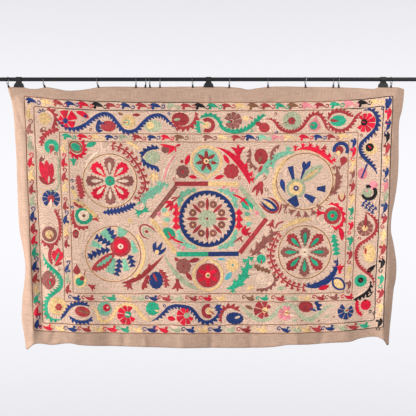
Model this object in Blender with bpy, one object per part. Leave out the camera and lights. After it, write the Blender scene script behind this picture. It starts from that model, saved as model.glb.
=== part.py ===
"""Suzani: a one-piece embroidered cloth hung from a black rod by ring clips and broad clamps.

Metres, +Z up. The origin is on the rod's axis at its middle. X runs along the rod, to the right as
seen from the front, and Y runs away from the viewer, through the cloth.
"""
import math
from collections import namedtuple

import bmesh
import bpy
from mathutils import Vector

MM = 0.001
FIT_GAP = 0.3 * MM
SHARP_EDGE = math.radians(35)
SOFT_EDGE = math.radians(60)

ROD_LENGTH = 2440 * MM
ROD_RADIUS = 11 * MM
ROD_WALL = 1.2 * MM
ROD_SIDES = 24
CAP_THICKNESS = 4 * MM
CAP_PLUG_LENGTH = 22 * MM
CAP_EDGE_ROUND = 1 * MM
CAP_PLUG_TAPER = 2 * MM

# The cloth is laid out flat on a chart, in metres: a to the right and b up, from the middle of its frames.
CLOTH_THICKNESS = 2 * MM
FRAME_HALF_WIDTH = 986 * MM
FRAME_HALF_HEIGHT = 635 * MM
FRAME_SPREAD_AT_TOP = 27.5 * MM
CHART_CENTRE_X = 3 * MM
CHART_CENTRE_Z = -762 * MM
CLOTH_HALF_WIDTH = 1072 * MM
CLOTH_HALF_HEIGHT = 718 * MM
SIDE_MARGIN_FLAT = 90 * MM
MARGIN_EASE = 1.3
CURL_EASE = 1.6
CURL_SHARE = 0.8
TOP_CORNER_LIFT = 36 * MM
BOTTOM_LEFT_LIFT = 17 * MM
BOTTOM_RIGHT_LIFT = 36 * MM

# The seen outline of the hanging cloth, read from the front: each point is (x, z) in millimetres.
TOP_EDGE = (
    (-1103, -43), (-1068, -41), (-1040, -40), (-1012, -43), (-985, -51), (-940, -52), (-889, -43),
    (-842, -50), (-774, -62), (-674, -55), (-594, -42), (-480, -40), (-396, -41), (-332, -42),
    (-264, -42), (-152, -40), (-85, -40), (3, -39), (118, -42), (174, -47), (218, -56), (261, -50),
    (330, -41), (420, -39), (535, -41), (613, -42), (692, -42), (718, -43), (836, -48), (915, -52),
    (936, -43), (963, -40), (990, -42), (1036, -43), (1090, -47),
)
BOTTOM_EDGE = (
    (-1014, -1493), (-987, -1476), (-958, -1458), (-929, -1453), (-861, -1461), (-759, -1450),
    (-704, -1460), (-592, -1467), (-372, -1472), (-207, -1476), (0, -1477), (175, -1478),
    (339, -1474), (448, -1459), (559, -1458), (670, -1450), (782, -1443), (838, -1426),
    (922, -1417), (963, -1432), (1005, -1467),
)
# The side edges are read from the bottom up, each point as (z, x) in millimetres.
LEFT_EDGE = (
    (-1493, -1014), (-1411, -1023), (-1327, -1034), (-1215, -1032), (-1132, -1024), (-1049, -1018),
    (-966, -1025), (-911, -1034), (-829, -1047), (-663, -1056), (-553, -1060), (-443, -1063),
    (-321, -1070), (-193, -1078), (-83, -1093), (-43, -1103),
)
RIGHT_EDGE = (
    (-1467, 1005), (-1383, 1010), (-1271, 1021), (-1160, 1031), (-1104, 1041), (-1021, 1045),
    (-939, 1037), (-883, 1028), (-828, 1018), (-746, 1024), (-664, 1039), (-553, 1054),
    (-443, 1060), (-332, 1061), (-221, 1065), (-165, 1078), (-109, 1085), (-47, 1090),
)

# Main folds: soft troughs (depth above zero, away from the viewer) and ridges, by place on the chart.
Fold = namedtuple("Fold", "a_mm b_mm turn_deg width_mm length_mm depth_mm")
FOLDS = (
    Fold(-935, -330, 90, 30, 330, 15),
    Fold(-1000, -340, 90, 24, 300, -9),
    Fold(945, -330, 90, 34, 300, 9),
    Fold(1000, -260, 90, 26, 300, -8),
    Fold(-900, 590, -33, 16, 170, 7),
    Fold(-990, 470, -62, 18, 170, 6),
    Fold(-760, 620, 0, 60, 110, -9),
    Fold(-640, 560, 62, 18, 130, 5),
    Fold(215, 650, 0, 45, 70, -7),
    Fold(300, 560, 58, 20, 130, 5),
    Fold(860, 600, 24, 18, 160, 6),
    Fold(985, 470, 70, 20, 180, 6),
    Fold(-560, -640, 84, 40, 150, 6),
    Fold(-760, -660, 80, 30, 110, -7),
    Fold(430, -640, 92, 36, 130, 6),
    Fold(780, -650, 105, 34, 130, -8),
    Fold(900, -610, 118, 28, 150, 9),
    Fold(-300, 120, 12, 60, 300, 5),
    Fold(420, 60, -10, 70, 320, -5),
    Fold(60, -330, 4, 60, 380, 5),
)
# Broad waves run down the cloth. Each has a share of its depth at the top and its full depth added below.
Wave = namedtuple("Wave", "length_mm depth_mm top_share slant sway phase")
WAVES = (
    Wave(640, 6.0, 0.25, 0.0, 0.9, 0.7),
    Wave(290, 2.4, 0.50, 1.4, 0.0, 2.0),
)
WAVE_SWAY_RATE = 2.3

# Rings and clips, left to right. The clip leans, so its jaws reach the cloth beside its ring.
RingClip = namedtuple("RingClip", "ring_x_mm swivel_deg lean_deg size")
RING_CLIPS = (
    RingClip(-1101, 34, 18, "large"),
    RingClip(-905, 8, 20, "small"),
    RingClip(-609, -7, 18, "small"),
    RingClip(-396, 4, 0, "small"),
    RingClip(-342, 10, -6, "small"),
    RingClip(-321, -5, 5, "small"),
    RingClip(-264, 3, 0, "small"),
    RingClip(-85, -9, 4, "small"),
    RingClip(118, 6, -4, "small"),
    RingClip(330, -4, 0, "small"),
    RingClip(535, 12, 5, "small"),
    RingClip(691, -8, -6, "small"),
    RingClip(718, 5, 3, "small"),
    RingClip(1008, -28, -8, "large"),
)
RingSize = namedtuple("RingSize", "inner_radius wire_radius")
RING_SIZES = {
    "small": RingSize(15 * MM, 1.2 * MM),
    "large": RingSize(17 * MM, 1.6 * MM),
}
RING_STEPS = 20
RING_WIRE_SIDES = 6

EYE_GAP = 0.6 * MM
EYE_SLACK = 2.2 * MM
EYE_WALL = 1.8 * MM
EYE_HALF_DEPTH = 0.9 * MM
CLIP_NECK_HALF_WIDTH = 2.6 * MM
CLIP_JAW_HALF_WIDTH = 5 * MM
CLIP_CORNER = 1.5 * MM
CLIP_FLARE = 0.8 * MM
CLIP_FLARE_HEIGHT = 2 * MM
CLIP_HEAD_HALF_DEPTH = 3.3 * MM
CLIP_LEG_THICKNESS = 1.6 * MM
SLOT_HALF_WIDTH = CLOTH_THICKNESS / 2 + FIT_GAP
SLOT_TOP_Z = -36.5 * MM
CLIP_BOTTOM_Z = -47 * MM
EYE_STEPS = 12
EYE_ARC_DEG = (-38, 218)

CLIP_BLANK = 12 * MM

CLAMPS = {"clamp_left": -1040 * MM, "clamp_middle": 3 * MM, "clamp_right": 963 * MM}
CLAMP_BAND_HALF_WIDTH = 15 * MM
CLAMP_BAND_THICKNESS = 2.6 * MM
CLAMP_JAW_HALF_WIDTH = 27.5 * MM
CLAMP_JAW_HALF_DEPTH = 5 * MM
CLAMP_BOTTOM_Z = -44 * MM
CLAMP_SHOULDER_Z = -13 * MM
CLAMP_WAIST_Z = -22 * MM
CLAMP_WAIST_BULGE = 1 * MM
CLAMP_FOOT_HEIGHT = 4 * MM
CLAMP_ROUND_DEG = (0, 56)
CLAMP_ROUND_STEPS = 7
CLAMP_SHOULDER_DEG = -48
CLAMP_ARC_STEPS = 7
CLAMP_BLANK = 40 * MM

# The cloth lies flat inside each jaw, and its folds grow from there.
FLAT_MARGIN = 4 * MM
FLAT_FADE = 70 * MM
GRID_COLUMN_STEP = 60 * MM
MARGIN_COLUMNS = (0.28, 0.62)
GRID_ROWS_NEAR_TOP = (0, 9 * MM, 26 * MM, 50 * MM, 80 * MM)
GRID_ROW_STEP = 66 * MM


def clear_scene():
    for leftover in list(bpy.data.objects):
        bpy.data.objects.remove(leftover, do_unlink=True)


def make_material(name, colour, roughness, metallic=0.0):
    material = bpy.data.materials.new(name)
    material.use_nodes = True
    shader = material.node_tree.nodes["Principled BSDF"]
    shader.inputs["Base Color"].default_value = (*colour, 1.0)
    shader.inputs["Roughness"].default_value = roughness
    shader.inputs["Metallic"].default_value = metallic
    return material


def add_object(name, mesh, material):
    piece = bpy.data.objects.new(name, mesh)
    bpy.context.scene.collection.objects.link(piece)
    piece.data.materials.clear()
    piece.data.materials.append(material)
    return piece


def mesh_from_bmesh(name, form, smooth_angle=None):
    bmesh.ops.recalc_face_normals(form, faces=form.faces)
    mesh = bpy.data.meshes.new(name)
    form.to_mesh(mesh)
    form.free()
    if smooth_angle is not None:
        mesh.shade_smooth()
        mesh.set_sharp_from_angle(angle=smooth_angle)
    return mesh


def clamp01(value):
    return min(1.0, max(0.0, value))


def smooth_step(value):
    t = clamp01(value)
    return t * t * (3.0 - 2.0 * t)


def curve_at(points_mm, position):
    """A smooth curve through (position, value) points in millimetres, read at a position in metres."""
    p = position / MM
    p = min(points_mm[-1][0], max(points_mm[0][0], p))
    last = len(points_mm) - 1
    index = next(i for i in range(last) if p <= points_mm[i + 1][0])
    p0, v0 = points_mm[index]
    p1, v1 = points_mm[index + 1]
    before = points_mm[max(index - 1, 0)]
    after = points_mm[min(index + 2, last)]
    slope0 = (v1 - before[1]) / (p1 - before[0])
    slope1 = (after[1] - v0) / (after[0] - p0)
    span = p1 - p0
    t = (p - p0) / span
    value = (
        (2 * t**3 - 3 * t**2 + 1) * v0
        + (t**3 - 2 * t**2 + t) * slope0 * span
        + (3 * t**2 - 2 * t**3) * v1
        + (t**3 - t**2) * slope1 * span
    )
    return value * MM


def hung_plane(a, b):
    """Where a chart point hangs, seen from the front: the frames spread upwards and lift at corners."""
    across = a / FRAME_HALF_WIDTH
    up = b / FRAME_HALF_HEIGHT
    x = CHART_CENTRE_X + across * (FRAME_HALF_WIDTH + FRAME_SPREAD_AT_TOP * up)
    low_lift = BOTTOM_LEFT_LIFT if a < 0 else BOTTOM_RIGHT_LIFT
    lift = TOP_CORNER_LIFT * ((1 + up) / 2) ** 4 + low_lift * ((1 - up) / 2) ** 4
    return x, CHART_CENTRE_Z + b + lift * across**4


def margin_share(distance, inner, outer):
    """How far out in a margin a point lies: 0 at the outer frame line and 1 at the cloth's edge."""
    return clamp01((abs(distance) - inner) / (outer - inner))


def seen_place(a, b):
    """Front view of the chart point, with the margins drawn out to the cloth's seen outline."""
    x, z = hung_plane(a, b)
    side_share = margin_share(a, FRAME_HALF_WIDTH, CLOTH_HALF_WIDTH)
    end_share = margin_share(b, FRAME_HALF_HEIGHT, CLOTH_HALF_HEIGHT)
    if end_share > 0:
        edge_b = math.copysign(CLOTH_HALF_HEIGHT, b)
        edge_z = curve_at(TOP_EDGE if b > 0 else BOTTOM_EDGE, x)
        z += end_share**MARGIN_EASE * (edge_z - hung_plane(a, edge_b)[1])
    if side_share > 0:
        edge_a = math.copysign(CLOTH_HALF_WIDTH, a)
        edge_x = curve_at(LEFT_EDGE if a < 0 else RIGHT_EDGE, z)
        x += side_share**MARGIN_EASE * (edge_x - hung_plane(edge_a, b)[0])
    return x, z


def margin_curl(a, b, z):
    """The side margins roll back where they look narrower than the cloth is."""
    share = margin_share(a, FRAME_HALF_WIDTH, CLOTH_HALF_WIDTH)
    if share == 0:
        return 0.0
    edge_x = curve_at(LEFT_EDGE if a < 0 else RIGHT_EDGE, z)
    line_x = hung_plane(math.copysign(FRAME_HALF_WIDTH, a), b)[0]
    seen = abs(edge_x - line_x)
    reach = math.sqrt(max(SIDE_MARGIN_FLAT**2 - seen**2, 0.0))
    return CURL_SHARE * reach * share**CURL_EASE


def fold_depth(a, b):
    depth = 0.0
    for fold in FOLDS:
        turn = math.radians(fold.turn_deg)
        da = a - fold.a_mm * MM
        db = b - fold.b_mm * MM
        along = (da * math.cos(turn) + db * math.sin(turn)) / (fold.length_mm * MM)
        across = (db * math.cos(turn) - da * math.sin(turn)) / (fold.width_mm * MM)
        depth += fold.depth_mm * MM * math.exp(-across**2 - along**2)
    return depth


def wave_depth(a, b):
    """Slack that runs down the whole cloth in broad waves, stronger towards the free bottom edge."""
    down = clamp01((CLOTH_HALF_HEIGHT - b) / (2 * CLOTH_HALF_HEIGHT))
    depth = 0.0
    for wave in WAVES:
        turn = 2 * math.pi * a / (wave.length_mm * MM) + wave.slant * b + wave.phase
        turn += wave.sway * math.sin(WAVE_SWAY_RATE * b)
        depth += wave.depth_mm * MM * (wave.top_share + down) * math.sin(turn)
    return depth


def holders():
    """Every jaw on the cloth's top edge, as its middle and its half width."""
    for clip in RING_CLIPS:
        yield clip_jaw_x(clip), CLIP_JAW_HALF_WIDTH + 2 * MM
    for x in CLAMPS.values():
        yield x, CLAMP_JAW_HALF_WIDTH


def freedom(x, z):
    """0 inside a jaw, where the cloth must lie flat, rising to 1 away from all of them."""
    free = 1.0
    below = smooth_step((CLIP_BOTTOM_Z - 2 * MM - z) / FLAT_FADE)
    for jaw_x, half_width in holders():
        beside = smooth_step((abs(x - jaw_x) - half_width - FLAT_MARGIN) / FLAT_FADE)
        free *= 1.0 - (1.0 - beside) * (1.0 - below)
    return free


def cloth_point(a, b):
    x, z = seen_place(a, b)
    y = (fold_depth(a, b) + wave_depth(a, b) + margin_curl(a, b, z)) * freedom(x, z)
    return Vector((x, y, z))


def cloth_normal(a, b):
    step = 2 * MM
    along = cloth_point(a + step, b) - cloth_point(a - step, b)
    up = cloth_point(a, b + step) - cloth_point(a, b - step)
    return along.cross(up).normalized()


def chart_a_at(x):
    """The chart column whose top edge hangs at x."""
    low, high = -CLOTH_HALF_WIDTH, CLOTH_HALF_WIDTH
    for _ in range(40):
        middle = (low + high) / 2
        if cloth_point(middle, CLOTH_HALF_HEIGHT).x < x:
            low = middle
        else:
            high = middle
    return (low + high) / 2


def cloth_columns():
    """Column places: the edges, both sides of each jaw, and even steps between them."""
    marks = {-CLOTH_HALF_WIDTH, CLOTH_HALF_WIDTH}
    for share in MARGIN_COLUMNS:
        margin = CLOTH_HALF_WIDTH - FRAME_HALF_WIDTH
        marks.add(FRAME_HALF_WIDTH + share * margin)
        marks.add(-FRAME_HALF_WIDTH - share * margin)
    for jaw_x, half_width in holders():
        for side in (-1, 1):
            marks.add(chart_a_at(jaw_x + side * (half_width + 1 * MM)))
    ordered = sorted(marks)
    kept = [ordered[0]]
    for mark in ordered[1:-1]:
        if mark - kept[-1] > 4 * MM and ordered[-1] - mark > 4 * MM:
            kept.append(mark)
    kept.append(ordered[-1])
    columns = [kept[0]]
    for mark in kept[1:]:
        parts = max(1, math.ceil((mark - columns[-1]) / GRID_COLUMN_STEP))
        start = columns[-1]
        columns += [start + (mark - start) * i / parts for i in range(1, parts + 1)]
    return columns


def cloth_rows():
    rows = [CLOTH_HALF_HEIGHT - depth for depth in GRID_ROWS_NEAR_TOP]
    span = rows[-1] + CLOTH_HALF_HEIGHT
    parts = math.ceil(span / GRID_ROW_STEP)
    start = rows[-1]
    rows += [start - span * i / parts for i in range(1, parts + 1)]
    return rows


def build_cloth(material):
    """One closed sheet: a front and a back grid, joined round the four edges."""
    columns = cloth_columns()
    rows = cloth_rows()
    form = bmesh.new()
    layers = []
    for side in (-1, 1):
        layer = []
        for b in rows:
            line = []
            for a in columns:
                offset = cloth_normal(a, b) * (side * CLOTH_THICKNESS / 2)
                line.append(form.verts.new(cloth_point(a, b) - offset))
            layer.append(line)
        layers.append(layer)
    last_row = len(rows) - 1
    last_column = len(columns) - 1
    for layer in layers:
        for r in range(last_row):
            for c in range(last_column):
                quad = (layer[r][c], layer[r][c + 1], layer[r + 1][c + 1], layer[r + 1][c])
                form.faces.new(quad)
    rim = [(0, c) for c in range(last_column)]
    rim += [(r, last_column) for r in range(last_row)]
    rim += [(last_row, c) for c in range(last_column, 0, -1)]
    rim += [(r, 0) for r in range(last_row, 0, -1)]
    for here, there in zip(rim, rim[1:] + rim[:1]):
        corners = [layers[0][here[0]][here[1]], layers[0][there[0]][there[1]]]
        corners += [layers[1][there[0]][there[1]], layers[1][here[0]][here[1]]]
        form.faces.new(corners)
    add_object("cloth", mesh_from_bmesh("cloth", form, SOFT_EDGE), material)


def ring_outline(radius, steps):
    turns = [2 * math.pi * i / steps for i in range(steps)]
    return [(radius * math.cos(t), radius * math.sin(t)) for t in turns]


def tube_form(profile, steps):
    """Turn a closed (radius, x) profile about the X axis."""
    form = bmesh.new()
    loops = []
    for turn in range(steps):
        angle = 2 * math.pi * turn / steps
        loop = [form.verts.new((x, r * math.cos(angle), r * math.sin(angle))) for r, x in profile]
        loops.append(loop)
    count = len(profile)
    for turn in range(steps):
        here, there = loops[turn], loops[(turn + 1) % steps]
        for i in range(count):
            j = (i + 1) % count
            form.faces.new((here[i], here[j], there[j], there[i]))
    return form


def build_rod(material):
    inner = ROD_RADIUS - ROD_WALL
    half = ROD_LENGTH / 2 - CAP_THICKNESS - FIT_GAP
    profile = ((ROD_RADIUS, -half), (ROD_RADIUS, half), (inner, half), (inner, -half))
    mesh = mesh_from_bmesh("rod", tube_form(profile, ROD_SIDES), SHARP_EDGE)
    add_object("rod", mesh, material)


def build_rod_caps(material):
    """A flat disc that closes each end, with a plug that reaches into the tube."""
    plug = ROD_RADIUS - ROD_WALL - FIT_GAP
    for name, side in (("rod_cap_left", -1), ("rod_cap_right", 1)):
        form = bmesh.new()
        stations = (
            (plug - CAP_EDGE_ROUND, CAP_PLUG_LENGTH),
            (plug, CAP_PLUG_LENGTH - CAP_PLUG_TAPER),
            (plug, 0.0),
            (ROD_RADIUS, 0.0),
            (ROD_RADIUS, -CAP_THICKNESS + CAP_EDGE_ROUND),
            (ROD_RADIUS - CAP_EDGE_ROUND, -CAP_THICKNESS),
        )
        rings = []
        for radius, inward in stations:
            x = side * (ROD_LENGTH / 2 - CAP_THICKNESS - inward)
            rings.append([form.verts.new((x, y, z)) for y, z in ring_outline(radius, ROD_SIDES)])
        for here, there in zip(rings, rings[1:]):
            for i in range(ROD_SIDES):
                j = (i + 1) % ROD_SIDES
                form.faces.new((here[i], here[j], there[j], there[i]))
        form.faces.new(rings[0])
        form.faces.new(rings[-1])
        add_object(name, mesh_from_bmesh(name, form, SHARP_EDGE), material)


def ring_centre_z(size):
    """A ring hangs with the inside of its top on the rod's top."""
    return ROD_RADIUS + FIT_GAP - size.inner_radius


def eye_hole_radius(size):
    return size.wire_radius + EYE_SLACK


def eye_centre_z(size):
    """A clip's eye hangs with the top of its hole on the ring's wire."""
    wire_top_z = ring_centre_z(size) - size.inner_radius
    return wire_top_z + EYE_GAP - eye_hole_radius(size)


def clip_jaw_x(clip):
    """Where a leaning clip's jaws meet the cloth."""
    drop = eye_centre_z(RING_SIZES[clip.size]) - CLIP_BOTTOM_Z
    return clip.ring_x_mm * MM + drop * math.sin(math.radians(clip.lean_deg))


def build_rings(material):
    meshes = {}
    for name, size in RING_SIZES.items():
        form = bmesh.new()
        major = size.inner_radius + size.wire_radius
        loops = []
        for step in range(RING_STEPS):
            angle = 2 * math.pi * step / RING_STEPS
            outward = Vector((0, math.cos(angle), math.sin(angle)))
            loop = []
            for x, r in ring_outline(size.wire_radius, RING_WIRE_SIDES):
                loop.append(form.verts.new(outward * (major + r) + Vector((x, 0, 0))))
            loops.append(loop)
        for here, there in zip(loops, loops[1:] + loops[:1]):
            for i in range(RING_WIRE_SIDES):
                j = (i + 1) % RING_WIRE_SIDES
                form.faces.new((here[i], here[j], there[j], there[i]))
        meshes[name] = mesh_from_bmesh(f"ring_{name}", form, SOFT_EDGE)
    for number, clip in enumerate(RING_CLIPS, start=1):
        ring = add_object(f"ring_{number:02d}", meshes[clip.size], material)
        ring.location = (clip.ring_x_mm * MM, 0, ring_centre_z(RING_SIZES[clip.size]))
        ring.rotation_euler = (0, 0, math.radians(clip.swivel_deg))


def prism(outline, place, half_depth):
    """A closed prism: the outline's (u, v) points set by place(u, v, w) at w = both half depths."""
    form = bmesh.new()
    ends = []
    for w in (-half_depth, half_depth):
        ends.append([form.verts.new(place(u, v, w)) for u, v in outline])
    count = len(outline)
    for i in range(count):
        j = (i + 1) % count
        form.faces.new((ends[0][i], ends[0][j], ends[1][j], ends[1][i]))
    form.faces.new(ends[0])
    form.faces.new(ends[1])
    return form


def front_place(u, v, w):
    return u, w, v


def side_place(u, v, w):
    return w, u, v


def boolean(body, cutter, operation):
    """Apply a Boolean of two plain meshes, and return the new mesh."""
    target = bpy.data.objects.new("target", body)
    tool = bpy.data.objects.new("tool", cutter)
    for item in (target, tool):
        bpy.context.scene.collection.objects.link(item)
    modifier = target.modifiers.new("shape", "BOOLEAN")
    modifier.operation = operation
    modifier.solver = "EXACT"
    modifier.object = tool
    graph = bpy.context.evaluated_depsgraph_get()
    result = bpy.data.meshes.new_from_object(target.evaluated_get(graph))
    for item in (target, tool):
        bpy.data.objects.remove(item, do_unlink=True)
    return result


def crossed_prisms(name, front_outline, side_outline, half_depth, half_width, hole=None):
    """The solid that has one outline from the front and the other from the side."""
    front = mesh_from_bmesh("front", prism(front_outline, front_place, half_depth))
    side = mesh_from_bmesh("side", prism(side_outline, side_place, half_width))
    shape = boolean(front, side, "INTERSECT")
    if hole is not None:
        drill = mesh_from_bmesh("hole", prism(hole, front_place, 2 * half_depth))
        shape = boolean(shape, drill, "DIFFERENCE")
    shape.name = name
    shape.shade_smooth()
    shape.set_sharp_from_angle(angle=SHARP_EDGE)
    return shape


def arc(centre, radius, start_deg, end_deg, steps):
    turns = [math.radians(start_deg + (end_deg - start_deg) * i / steps) for i in range(steps + 1)]
    return [(centre[0] + radius * math.cos(t), centre[1] + radius * math.sin(t)) for t in turns]


def clip_mesh(name, size):
    """A small jaw clip about its eye's centre: the eye, a neck, a head and a leg each side."""
    eye_z = eye_centre_z(size)
    eye_radius = eye_hole_radius(size) + EYE_WALL
    slot_top = SLOT_TOP_Z - eye_z
    bottom = CLIP_BOTTOM_Z - eye_z
    neck_z = -eye_radius
    jaw_z = slot_top + 1 * MM
    half = [
        (CLIP_NECK_HALF_WIDTH, neck_z),
        (CLIP_NECK_HALF_WIDTH + 1 * MM, (neck_z + jaw_z) / 2),
        (CLIP_JAW_HALF_WIDTH, jaw_z),
        (CLIP_JAW_HALF_WIDTH, bottom + CLIP_CORNER),
        (CLIP_JAW_HALF_WIDTH - CLIP_CORNER, bottom),
    ]
    front = half[::-1] + arc((0, 0), eye_radius, *EYE_ARC_DEG, EYE_STEPS) + [(-x, z) for x, z in half]
    leg = SLOT_HALF_WIDTH + CLIP_LEG_THICKNESS
    flare_z = bottom + CLIP_FLARE_HEIGHT
    side_half = [
        (EYE_HALF_DEPTH, eye_radius + 1 * MM),
        (EYE_HALF_DEPTH, neck_z),
        (CLIP_HEAD_HALF_DEPTH, neck_z - 3 * MM),
        (CLIP_HEAD_HALF_DEPTH, slot_top - 2 * MM),
        (leg, flare_z),
        (leg + CLIP_FLARE, bottom),
        (SLOT_HALF_WIDTH + CLIP_FLARE, bottom),
        (SLOT_HALF_WIDTH, flare_z),
        (SLOT_HALF_WIDTH, slot_top),
    ]
    side = side_half + [(-y, z) for y, z in side_half[::-1]]
    hole = ring_outline(eye_hole_radius(size), EYE_STEPS)
    return crossed_prisms(name, front, side, CLIP_BLANK, CLIP_BLANK, hole)


def build_clips(material):
    meshes = {key: clip_mesh(f"clip_{key}", size) for key, size in RING_SIZES.items()}
    for number, clip in enumerate(RING_CLIPS, start=1):
        piece = add_object(f"clip_{number:02d}", meshes[clip.size], material)
        piece.location = (clip.ring_x_mm * MM, 0, eye_centre_z(RING_SIZES[clip.size]))
        piece.rotation_euler = (0, -math.radians(clip.lean_deg), 0)


def clamp_front_outline():
    """From the front: a narrow band above, and a half-round jaw with a straight foot below."""
    foot_z = CLAMP_BOTTOM_Z + CLAMP_FOOT_HEIGHT
    jaw_rise = CLAMP_SHOULDER_Z - foot_z
    half = [(CLAMP_JAW_HALF_WIDTH, CLAMP_BOTTOM_Z)]
    for across, rise in arc((0, 0), 1.0, *CLAMP_ROUND_DEG, CLAMP_ROUND_STEPS):
        half.append((CLAMP_JAW_HALF_WIDTH * across, foot_z + jaw_rise * rise))
    half.append((CLAMP_BAND_HALF_WIDTH, CLAMP_SHOULDER_Z))
    half.append((CLAMP_BAND_HALF_WIDTH, CLAMP_BLANK))
    return half + [(-x, z) for x, z in half[::-1]]


def clamp_side_outline():
    """From the side: a ring round the rod, split below, with a leg on each side of the cloth."""
    bore = ROD_RADIUS + FIT_GAP
    outer = bore + CLAMP_BAND_THICKNESS
    slit_deg = math.degrees(math.asin(SLOT_HALF_WIDTH / bore))
    outside = arc((0, 0), outer, CLAMP_SHOULDER_DEG, 90, CLAMP_ARC_STEPS)
    inside = arc((0, 0), bore, 90, slit_deg - 90, 2 * CLAMP_ARC_STEPS)
    leg = [
        (SLOT_HALF_WIDTH, CLAMP_BOTTOM_Z),
        (CLAMP_JAW_HALF_DEPTH, CLAMP_BOTTOM_Z),
        (CLAMP_JAW_HALF_DEPTH + CLAMP_WAIST_BULGE, CLAMP_WAIST_Z),
    ]
    half = leg + outside
    around = half + [(-y, z) for y, z in half[-2::-1]]
    return around + [(-y, z) for y, z in inside[::-1]] + inside[1:]


def clamp_mesh():
    """A split band over the rod that spreads into two half-round jaws."""
    outlines = clamp_front_outline(), clamp_side_outline()
    return crossed_prisms("clamp", *outlines, CLAMP_BLANK, CLAMP_BLANK)


def build_clamps(material):
    mesh = clamp_mesh()
    for name, x in CLAMPS.items():
        clamp = add_object(name, mesh, material)
        clamp.location = (x, 0, 0)


def main():
    clear_scene()
    black_steel = make_material("black_steel", (0.02, 0.02, 0.024), 0.42, 0.6)
    black_plastic = make_material("black_plastic", (0.018, 0.018, 0.02), 0.5)
    ring_wire = make_material("ring_wire", (0.34, 0.34, 0.36), 0.3, 1.0)
    clip_steel = make_material("clip_steel", (0.06, 0.06, 0.07), 0.38, 0.9)
    linen = make_material("linen", (0.56, 0.41, 0.31), 0.9)
    build_rod(black_steel)
    build_rod_caps(black_plastic)
    build_rings(ring_wire)
    build_clips(clip_steel)
    build_clamps(black_plastic)
    build_cloth(linen)


main()
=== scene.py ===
"""The look of the suzani: linen on the solid's folds, the stitched pattern, and the hanging hardware.

The pattern is charted on squares, counted right and down as the hanging is seen from the front.
"""
import math
from collections import namedtuple

import bpy
import numpy as np
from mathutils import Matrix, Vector


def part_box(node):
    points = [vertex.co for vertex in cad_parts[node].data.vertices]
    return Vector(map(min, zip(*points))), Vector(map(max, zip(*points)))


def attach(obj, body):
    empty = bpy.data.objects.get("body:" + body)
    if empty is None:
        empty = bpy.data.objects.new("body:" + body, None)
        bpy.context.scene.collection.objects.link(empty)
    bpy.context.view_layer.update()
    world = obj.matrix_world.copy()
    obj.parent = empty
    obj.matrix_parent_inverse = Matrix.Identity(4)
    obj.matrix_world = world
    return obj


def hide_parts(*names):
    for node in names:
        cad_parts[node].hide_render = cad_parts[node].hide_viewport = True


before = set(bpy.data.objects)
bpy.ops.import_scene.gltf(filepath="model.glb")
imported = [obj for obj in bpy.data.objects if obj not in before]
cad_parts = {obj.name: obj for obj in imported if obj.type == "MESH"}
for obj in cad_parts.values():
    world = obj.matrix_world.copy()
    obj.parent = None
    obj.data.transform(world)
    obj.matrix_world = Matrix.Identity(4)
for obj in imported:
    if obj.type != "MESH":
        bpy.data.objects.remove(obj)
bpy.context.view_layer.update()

MM = 0.001

# The cloth's flat sizes and its hang are the same as the solid's.
FRAME_HALF_WIDTH = 986 * MM
FRAME_HALF_HEIGHT = 635 * MM
FRAME_SPREAD_AT_TOP = 27.5 * MM
CHART_CENTRE_X = 3 * MM
CHART_CENTRE_Z = -762 * MM
CLOTH_HALF_WIDTH = 1072 * MM
CLOTH_HALF_HEIGHT = 718 * MM
SIDE_MARGIN_FLAT = 90 * MM
MARGIN_EASE = 1.3
CURL_EASE = 1.6
CURL_SHARE = 0.8
TOP_CORNER_LIFT = 36 * MM
BOTTOM_LEFT_LIFT = 17 * MM
BOTTOM_RIGHT_LIFT = 36 * MM
TOP_EDGE = (
    (-1103, -43), (-1068, -41), (-1040, -40), (-1012, -43), (-985, -51), (-940, -52), (-889, -43),
    (-842, -50), (-774, -62), (-674, -55), (-594, -42), (-480, -40), (-396, -41), (-332, -42),
    (-264, -42), (-152, -40), (-85, -40), (3, -39), (118, -42), (174, -47), (218, -56), (261, -50),
    (330, -41), (420, -39), (535, -41), (613, -42), (692, -42), (718, -43), (836, -48), (915, -52),
    (936, -43), (963, -40), (990, -42), (1036, -43), (1090, -47),
)
BOTTOM_EDGE = (
    (-1014, -1493), (-987, -1476), (-958, -1458), (-929, -1453), (-861, -1461), (-759, -1450),
    (-704, -1460), (-592, -1467), (-372, -1472), (-207, -1476), (0, -1477), (175, -1478),
    (339, -1474), (448, -1459), (559, -1458), (670, -1450), (782, -1443), (838, -1426),
    (922, -1417), (963, -1432), (1005, -1467),
)
LEFT_EDGE = (
    (-1493, -1014), (-1411, -1023), (-1327, -1034), (-1215, -1032), (-1132, -1024), (-1049, -1018),
    (-966, -1025), (-911, -1034), (-829, -1047), (-663, -1056), (-553, -1060), (-443, -1063),
    (-321, -1070), (-193, -1078), (-83, -1093), (-43, -1103),
)
RIGHT_EDGE = (
    (-1467, 1005), (-1383, 1010), (-1271, 1021), (-1160, 1031), (-1104, 1041), (-1021, 1045),
    (-939, 1037), (-883, 1028), (-828, 1018), (-746, 1024), (-664, 1039), (-553, 1054),
    (-443, 1060), (-332, 1061), (-221, 1065), (-165, 1078), (-109, 1085), (-47, 1090),
)
Fold = namedtuple("Fold", "a_mm b_mm turn_deg width_mm length_mm depth_mm")
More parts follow.
